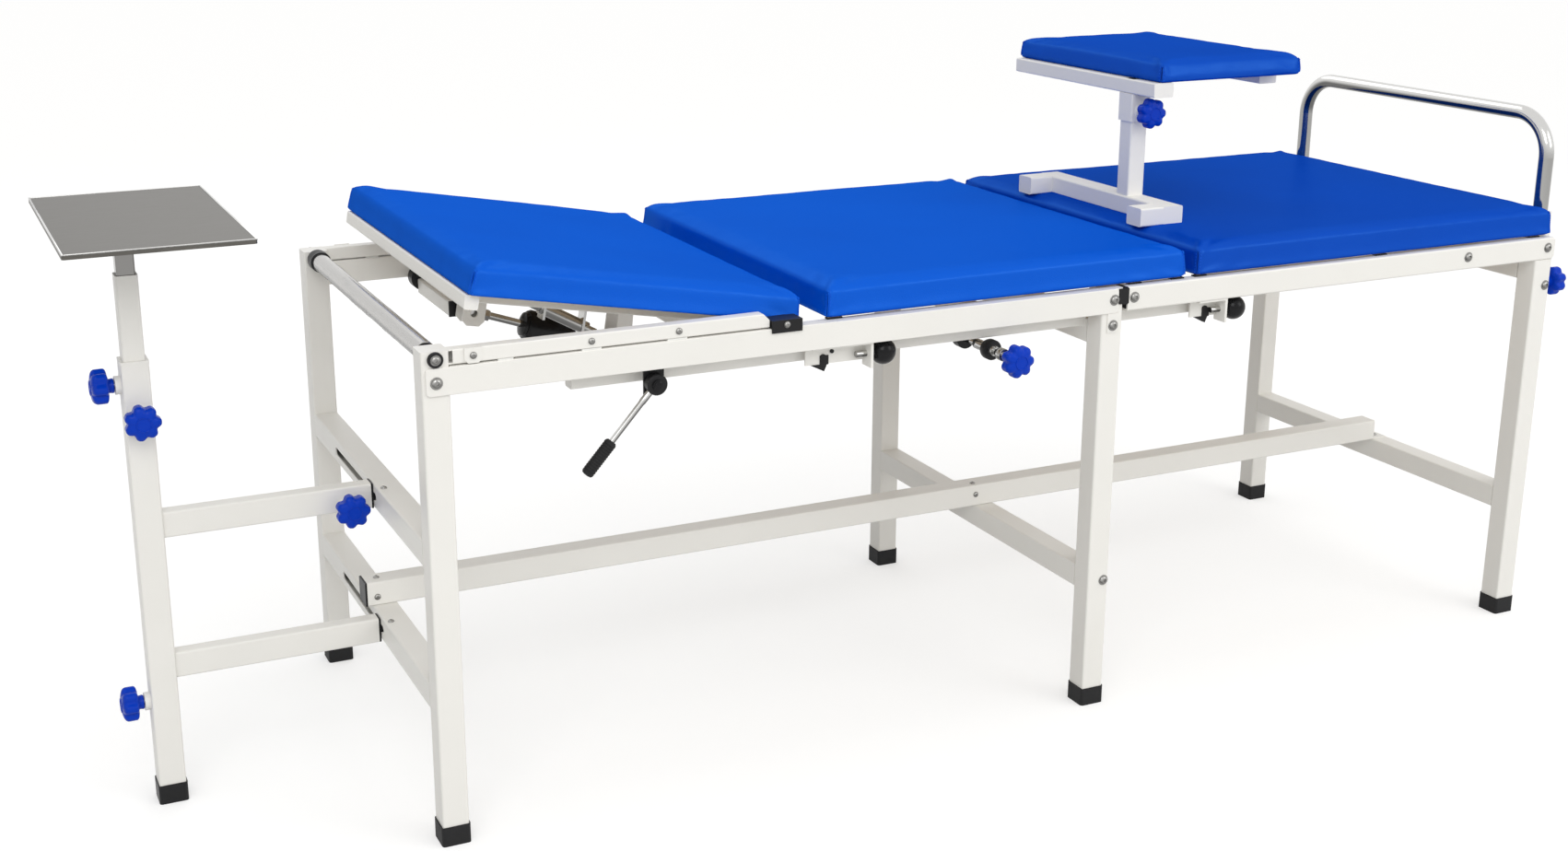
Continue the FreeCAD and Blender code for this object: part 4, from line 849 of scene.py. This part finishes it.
class TABLE_OT_metalwork(bpy.types.Operator):
    """Build the roller, the ball pulls, the release lever, the strut and the tray's lip with its painted
    highlight
    """
    bl_idname = "table.metalwork"
    bl_label = "Metalwork"

    def execute(self, context):
        self.roller()
        self.latches()
        self.lever()
        self.strut()
        self.tray_lip()
        return {"FINISHED"}

    def tray_lip(self):
        """The folded edge round the tray, drawn in bright chrome over the dark tray steel as a painted
        highlight
        """
        low, high, wide = (-434, 79, 856.6), (-196, 503, 858.8), 2.4
        sides = [((low[0], low[1], low[2]), (low[0] + wide, high[1], high[2])),
                 ((high[0] - wide, low[1], low[2]), (high[0], high[1], high[2])),
                 ((low[0] + wide, low[1], low[2]), (high[0] - wide, low[1] + wide, high[2])),
                 ((low[0] + wide, high[1] - wide, low[2]), (high[0] - wide, high[1], high[2]))]
        ride_all("tray", *[rounded_box("tray_lip", first, last, 0.5, MATERIALS["chrome"], 2)
                           for first, last in sides])

    def roller(self):
        middle = Vector((0, 0, 0.7))
        # The roller shell in the darker chrome copy with its painted dark reflection
        shell = lathe("roller_shell", [(13.4, 24), (14, 24.6), (14, 653.4), (13.4, 654)], middle, (0, 1, 0),
                      MATERIALS["dark_steel"])
        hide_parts("roller_tube")
        bands = []
        first = 40
        for i, wide in enumerate(FILM_BANDS):
            wave = [(14.5 + 0.5 * math.sin(3.1 * k + i), first + wide * k / 8) for k in range(9)]
            bands.append(lathe(f"roller_film_{i}", wave, middle, (0, 1, 0), MATERIALS["clear_film"]))
            first += wide + 4
        sleeve = lathe("roller_sleeve", ROLLER_SLEEVE, middle, (0, 1, 0), MATERIALS["black_plastic"])
        ride_all("roller", shell, sleeve, *bands)

    def latches(self):
        turns = [math.radians(24 + 156 * k / 22) for k in range(23)]
        ball = [(BALL_RADIUS * math.sin(a), -BALL_RADIUS * math.cos(a)) for a in turns]
        for body, node, x in (("left_latch", "latch_pull_left", 672),
                              ("right_latch", "latch_pull_right", 1306)):
            spot = Vector((x, 0, PULL_LEVEL)) * MM
            knob = lathe(node + "_ball", [(7.9, -20)] + ball[:-1] + [(0.4, BALL_RADIUS)], spot, (1, 0, 0),
                         MATERIALS["black_gloss"])
            pin = lathe(node + "_pin", PULL_PIN, spot, (1, 0, 0), MATERIALS["chrome"])
            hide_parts(node)
            ride_all(body, knob, pin)

    def lever(self):
        along = Vector((-math.cos(LEVER_TILT), 0, -math.sin(LEVER_TILT)))
        centre = Vector((LEVER_X, -0.009, LEVER_Z))
        rod = lathe("lever_rod", [(4.6, 14), (5, 15), (5, 30), (4.4, 34), (4.4, 112)], centre, along,
                    MATERIALS["chrome"])
        hub = lathe("lever_hub", [(14.2, 0), (15, 0.8), (15, 12.4), (13.6, 13.7), (9, 13.9)],
                    (LEVER_X, -0.0023, LEVER_Z), NEAR, MATERIALS["black_plastic"])
        cap = lathe("lever_hub_cap", [(6.6, 0), (6.6, 0.8), (5, 1.6), (1, 1.9)],
                    (LEVER_X, -0.0201, LEVER_Z), NEAR, MATERIALS["black_gloss"])
        profile = [(6.2, 99), (8.2, 101)]
        for k in range(12):
            profile += [(9.0, 103 + 4 * k), (9.0, 105.6 + 4 * k), (8.4, 106.1 + 4 * k), (8.4, 106.6 + 4 * k)]
        profile += [(9.0, 151), (8.6, 154), (7, 156.4), (3, 157.4)]
        grip = lathe("lever_grip_cover", profile, centre, along, MATERIALS["rubber"])
        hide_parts("lever_arm")
        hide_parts("lever_grip")
        ride_all("lever", rod, hub, grip)
        ride_all("frame", cap)

    def strut(self):
        barrel = lathe("strut_body", [(17, 14), (20, 17), (20, 57), (23, 58), (25, 60), (25, 84), (23.6, 86),
                                      (23.6, 90), (25, 92), (25, 158), (22.5, 162), (20, 162.5), (19, 167),
                                      (11, 170)], FOOT, STRUT_AXIS, MATERIALS["black_metal"])
        eye = lathe("strut_eye", [(12, -19.8), (12, 19.8)], FOOT, (0, 1, 0), MATERIALS["black_metal"])
        neck = lathe("strut_neck", [(10, 6), (12, 15)], FOOT, STRUT_AXIS, MATERIALS["black_metal"])
        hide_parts("strut_barrel")
        ride_all("strut", barrel, eye, neck)
        steel = MATERIALS["chrome"]
        tip = FOOT + STRUT_AXIS * STRUT_REACH * MM
        rod = lathe("strut_piston", [(6, 75), (6, STRUT_REACH - 26)], FOOT, STRUT_AXIS, steel)
        nut = lathe("strut_nut", [(9, -30), (9.6, -29), (9.6, -20), (8, -17), (7.6, -8)], tip, STRUT_AXIS,
                    steel, steps=6, smooth_angle=10)
        ring = lathe("strut_ring", [(9.4, -8), (10, -7.4), (10, 7.4), (9.4, 8)], tip, (0, 1, 0), steel)
        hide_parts("strut_rod")
        ride_all("strut_rod", rod, nut, ring)


FOCAL_PIXELS, PHOTO_WIDTH = 2071.1, 1702


class TABLE_OT_stage(bpy.types.Operator):
    """Set the camera, the floor and the studio light"""
    bl_idname = "table.stage"
    bl_label = "Stage"

    def execute(self, context):
        props = context.scene.table_stage
        scene = context.scene
        camera = bpy.data.cameras.new("Camera")
        camera.sensor_width = 36
        camera.lens = FOCAL_PIXELS / PHOTO_WIDTH * camera.sensor_width
        camera.shift_x, camera.shift_y = 0.0235, -0.0294
        camera.clip_start, camera.clip_end = 0.05, 200
        eye = bpy.data.objects.new("Camera", camera)
        scene.collection.objects.link(eye)
        yaw, pitch = math.radians(25.014), math.radians(15.952)
        forward = Vector((math.sin(yaw) * math.cos(pitch), math.cos(yaw) * math.cos(pitch), -math.sin(pitch)))
        right = Vector((math.cos(yaw), -math.sin(yaw), 0))
        up = right.cross(forward)
        turn = Matrix((right, up, -forward)).transposed().to_4x4()
        eye.matrix_world = Matrix.Translation(Vector((-0.63955, -2.34444, 1.35355))) @ turn
        scene.camera = eye
        self.floor()
        self.world(scene, props.sky)
        self.lamps(scene, props.key)
        scene.view_settings.view_transform = "Standard"
        scene.render.film_transparent = False
        return {"FINISHED"}

    def floor(self):
        """A plain floor that reads as white and keeps the shadow of the table"""
        material = bpy.data.materials.new("floor")
        material.use_nodes = True
        tree = material.node_tree
        tree.nodes.clear()
        dim = wire(tree, "ShaderNodeBsdfDiffuse", {"Color": (0.64, 0.64, 0.64, 1)})
        pale = wire(tree, "ShaderNodeBsdfDiffuse", {"Color": (0.62, 0.62, 0.62, 1)})
        glow = wire(tree, "ShaderNodeEmission", {"Color": (1, 1, 1, 1), "Strength": 0.48})
        white = wire(tree, "ShaderNodeAddShader", {0: pale.outputs[0], 1: glow.outputs[0]})
        mix = wire(tree, "ShaderNodeMixShader", {0: self.seen(tree), 1: dim.outputs[0], 2: white.outputs[0]})
        out = wire(tree, "ShaderNodeOutputMaterial")
        tree.links.new(mix.outputs[0], out.inputs["Surface"])
        wide = 40.0
        floor = mesh_object("floor", [(-wide, -wide, 0), (wide, -wide, 0), (wide, wide, 0), (-wide, wide, 0)],
                            [(0, 1, 2, 3)], material, smooth=False)

    def seen(self, tree):
        """1 for rays of the camera, of polished metal and of glass, which see the white background"""
        path = wire(tree, "ShaderNodeLightPath").outputs
        shiny = maths(tree, "MAXIMUM", path["Is Glossy Ray"], path["Is Transmission Ray"])
        return maths(tree, "MAXIMUM", path["Is Camera Ray"], shiny)

    def world(self, scene, strength):
        world = bpy.data.worlds.new("Studio")
        world.use_nodes = True
        tree = world.node_tree
        tree.nodes.clear()
        way = wire(tree, "ShaderNodeTexCoord").outputs["Generated"]
        parts = wire(tree, "ShaderNodeSeparateXYZ", {0: way})
        side = maths(tree, "MULTIPLY", parts.outputs[0], 0.2)
        front = maths(tree, "MULTIPLY_ADD", parts.outputs[1], -0.5, side)
        above = maths(tree, "MULTIPLY_ADD", parts.outputs[2], 0.4, front)
        level = maths(tree, "MULTIPLY", maths(tree, "ADD", above, 0.56), strength)
        level = maths(tree, "MAXIMUM", level, 0.05)
        soft = wire(tree, "ShaderNodeBackground", {"Color": (1.0, 0.995, 0.98, 1), "Strength": level})
        plain = wire(tree, "ShaderNodeBackground", {"Color": (1, 1, 1, 1), "Strength": 1.0})
        mix = wire(tree, "ShaderNodeMixShader", {0: self.seen(tree), 1: soft.outputs[0], 2: plain.outputs[0]})
        out = wire(tree, "ShaderNodeOutputWorld")
        tree.links.new(mix.outputs[0], out.inputs[0])
        scene.world = world

    def lamps(self, scene, power):
        for name, spot, target, size, share in (
                ("Key", (-1.6, -3.2, 3.6), (0.8, 0.3, 0.6), 2.4, 1.0),
                ("Fill", (3.4, -3.0, 2.6), (1.0, 0.3, 0.6), 2.0, 0.5),
                ("Rim", (1.0, 3.2, 3.4), (0.8, 0.3, 0.7), 2.6, 0.4)):
            light = bpy.data.lights.new(name, "AREA")
            light.energy = power * share
            light.size = size
            lamp = bpy.data.objects.new(name, light)
            scene.collection.objects.link(lamp)
            lamp.location = spot
            lamp.rotation_mode = "QUATERNION"
            lamp.rotation_quaternion = (Vector(target) - Vector(spot)).to_track_quat("-Z", "Y")


class TABLE_PT_panel(bpy.types.Panel):
    """The sizes of the pieces and a button for each group"""
    bl_label = "Traction table"
    bl_idname = "TABLE_PT_panel"
    bl_space_type = "VIEW_3D"
    bl_region_type = "UI"
    bl_category = "Traction table"

    def draw(self, context):
        for word in ("table_cushions", "table_knobs", "table_stage"):
            group = getattr(context.scene, word)
            for name in group.__annotations__:
                self.layout.prop(group, name)
        for step in STEPS:
            self.layout.operator(step.bl_idname)


STEPS = (TABLE_OT_materials, TABLE_OT_cushions, TABLE_OT_knobs, TABLE_OT_fasteners, TABLE_OT_metalwork,
         TABLE_OT_stage)
CLASSES = (CushionProps, KnobProps, StageProps) + STEPS + (TABLE_PT_panel,)


def register():
    for item in CLASSES:
        bpy.utils.register_class(item)
    bpy.types.Scene.table_cushions = PointerProperty(type=CushionProps)
    bpy.types.Scene.table_knobs = PointerProperty(type=KnobProps)
    bpy.types.Scene.table_stage = PointerProperty(type=StageProps)


def unregister():
    del bpy.types.Scene.table_stage
    del bpy.types.Scene.table_knobs
    del bpy.types.Scene.table_cushions
    for item in reversed(CLASSES):
        bpy.utils.unregister_class(item)


def main():
    register()
    bpy.ops.table.materials()
    bpy.ops.table.cushions()
    bpy.ops.table.knobs()
    bpy.ops.table.fasteners()
    bpy.ops.table.metalwork()
    bpy.ops.table.stage()


if __name__ == "__main__":
    main()
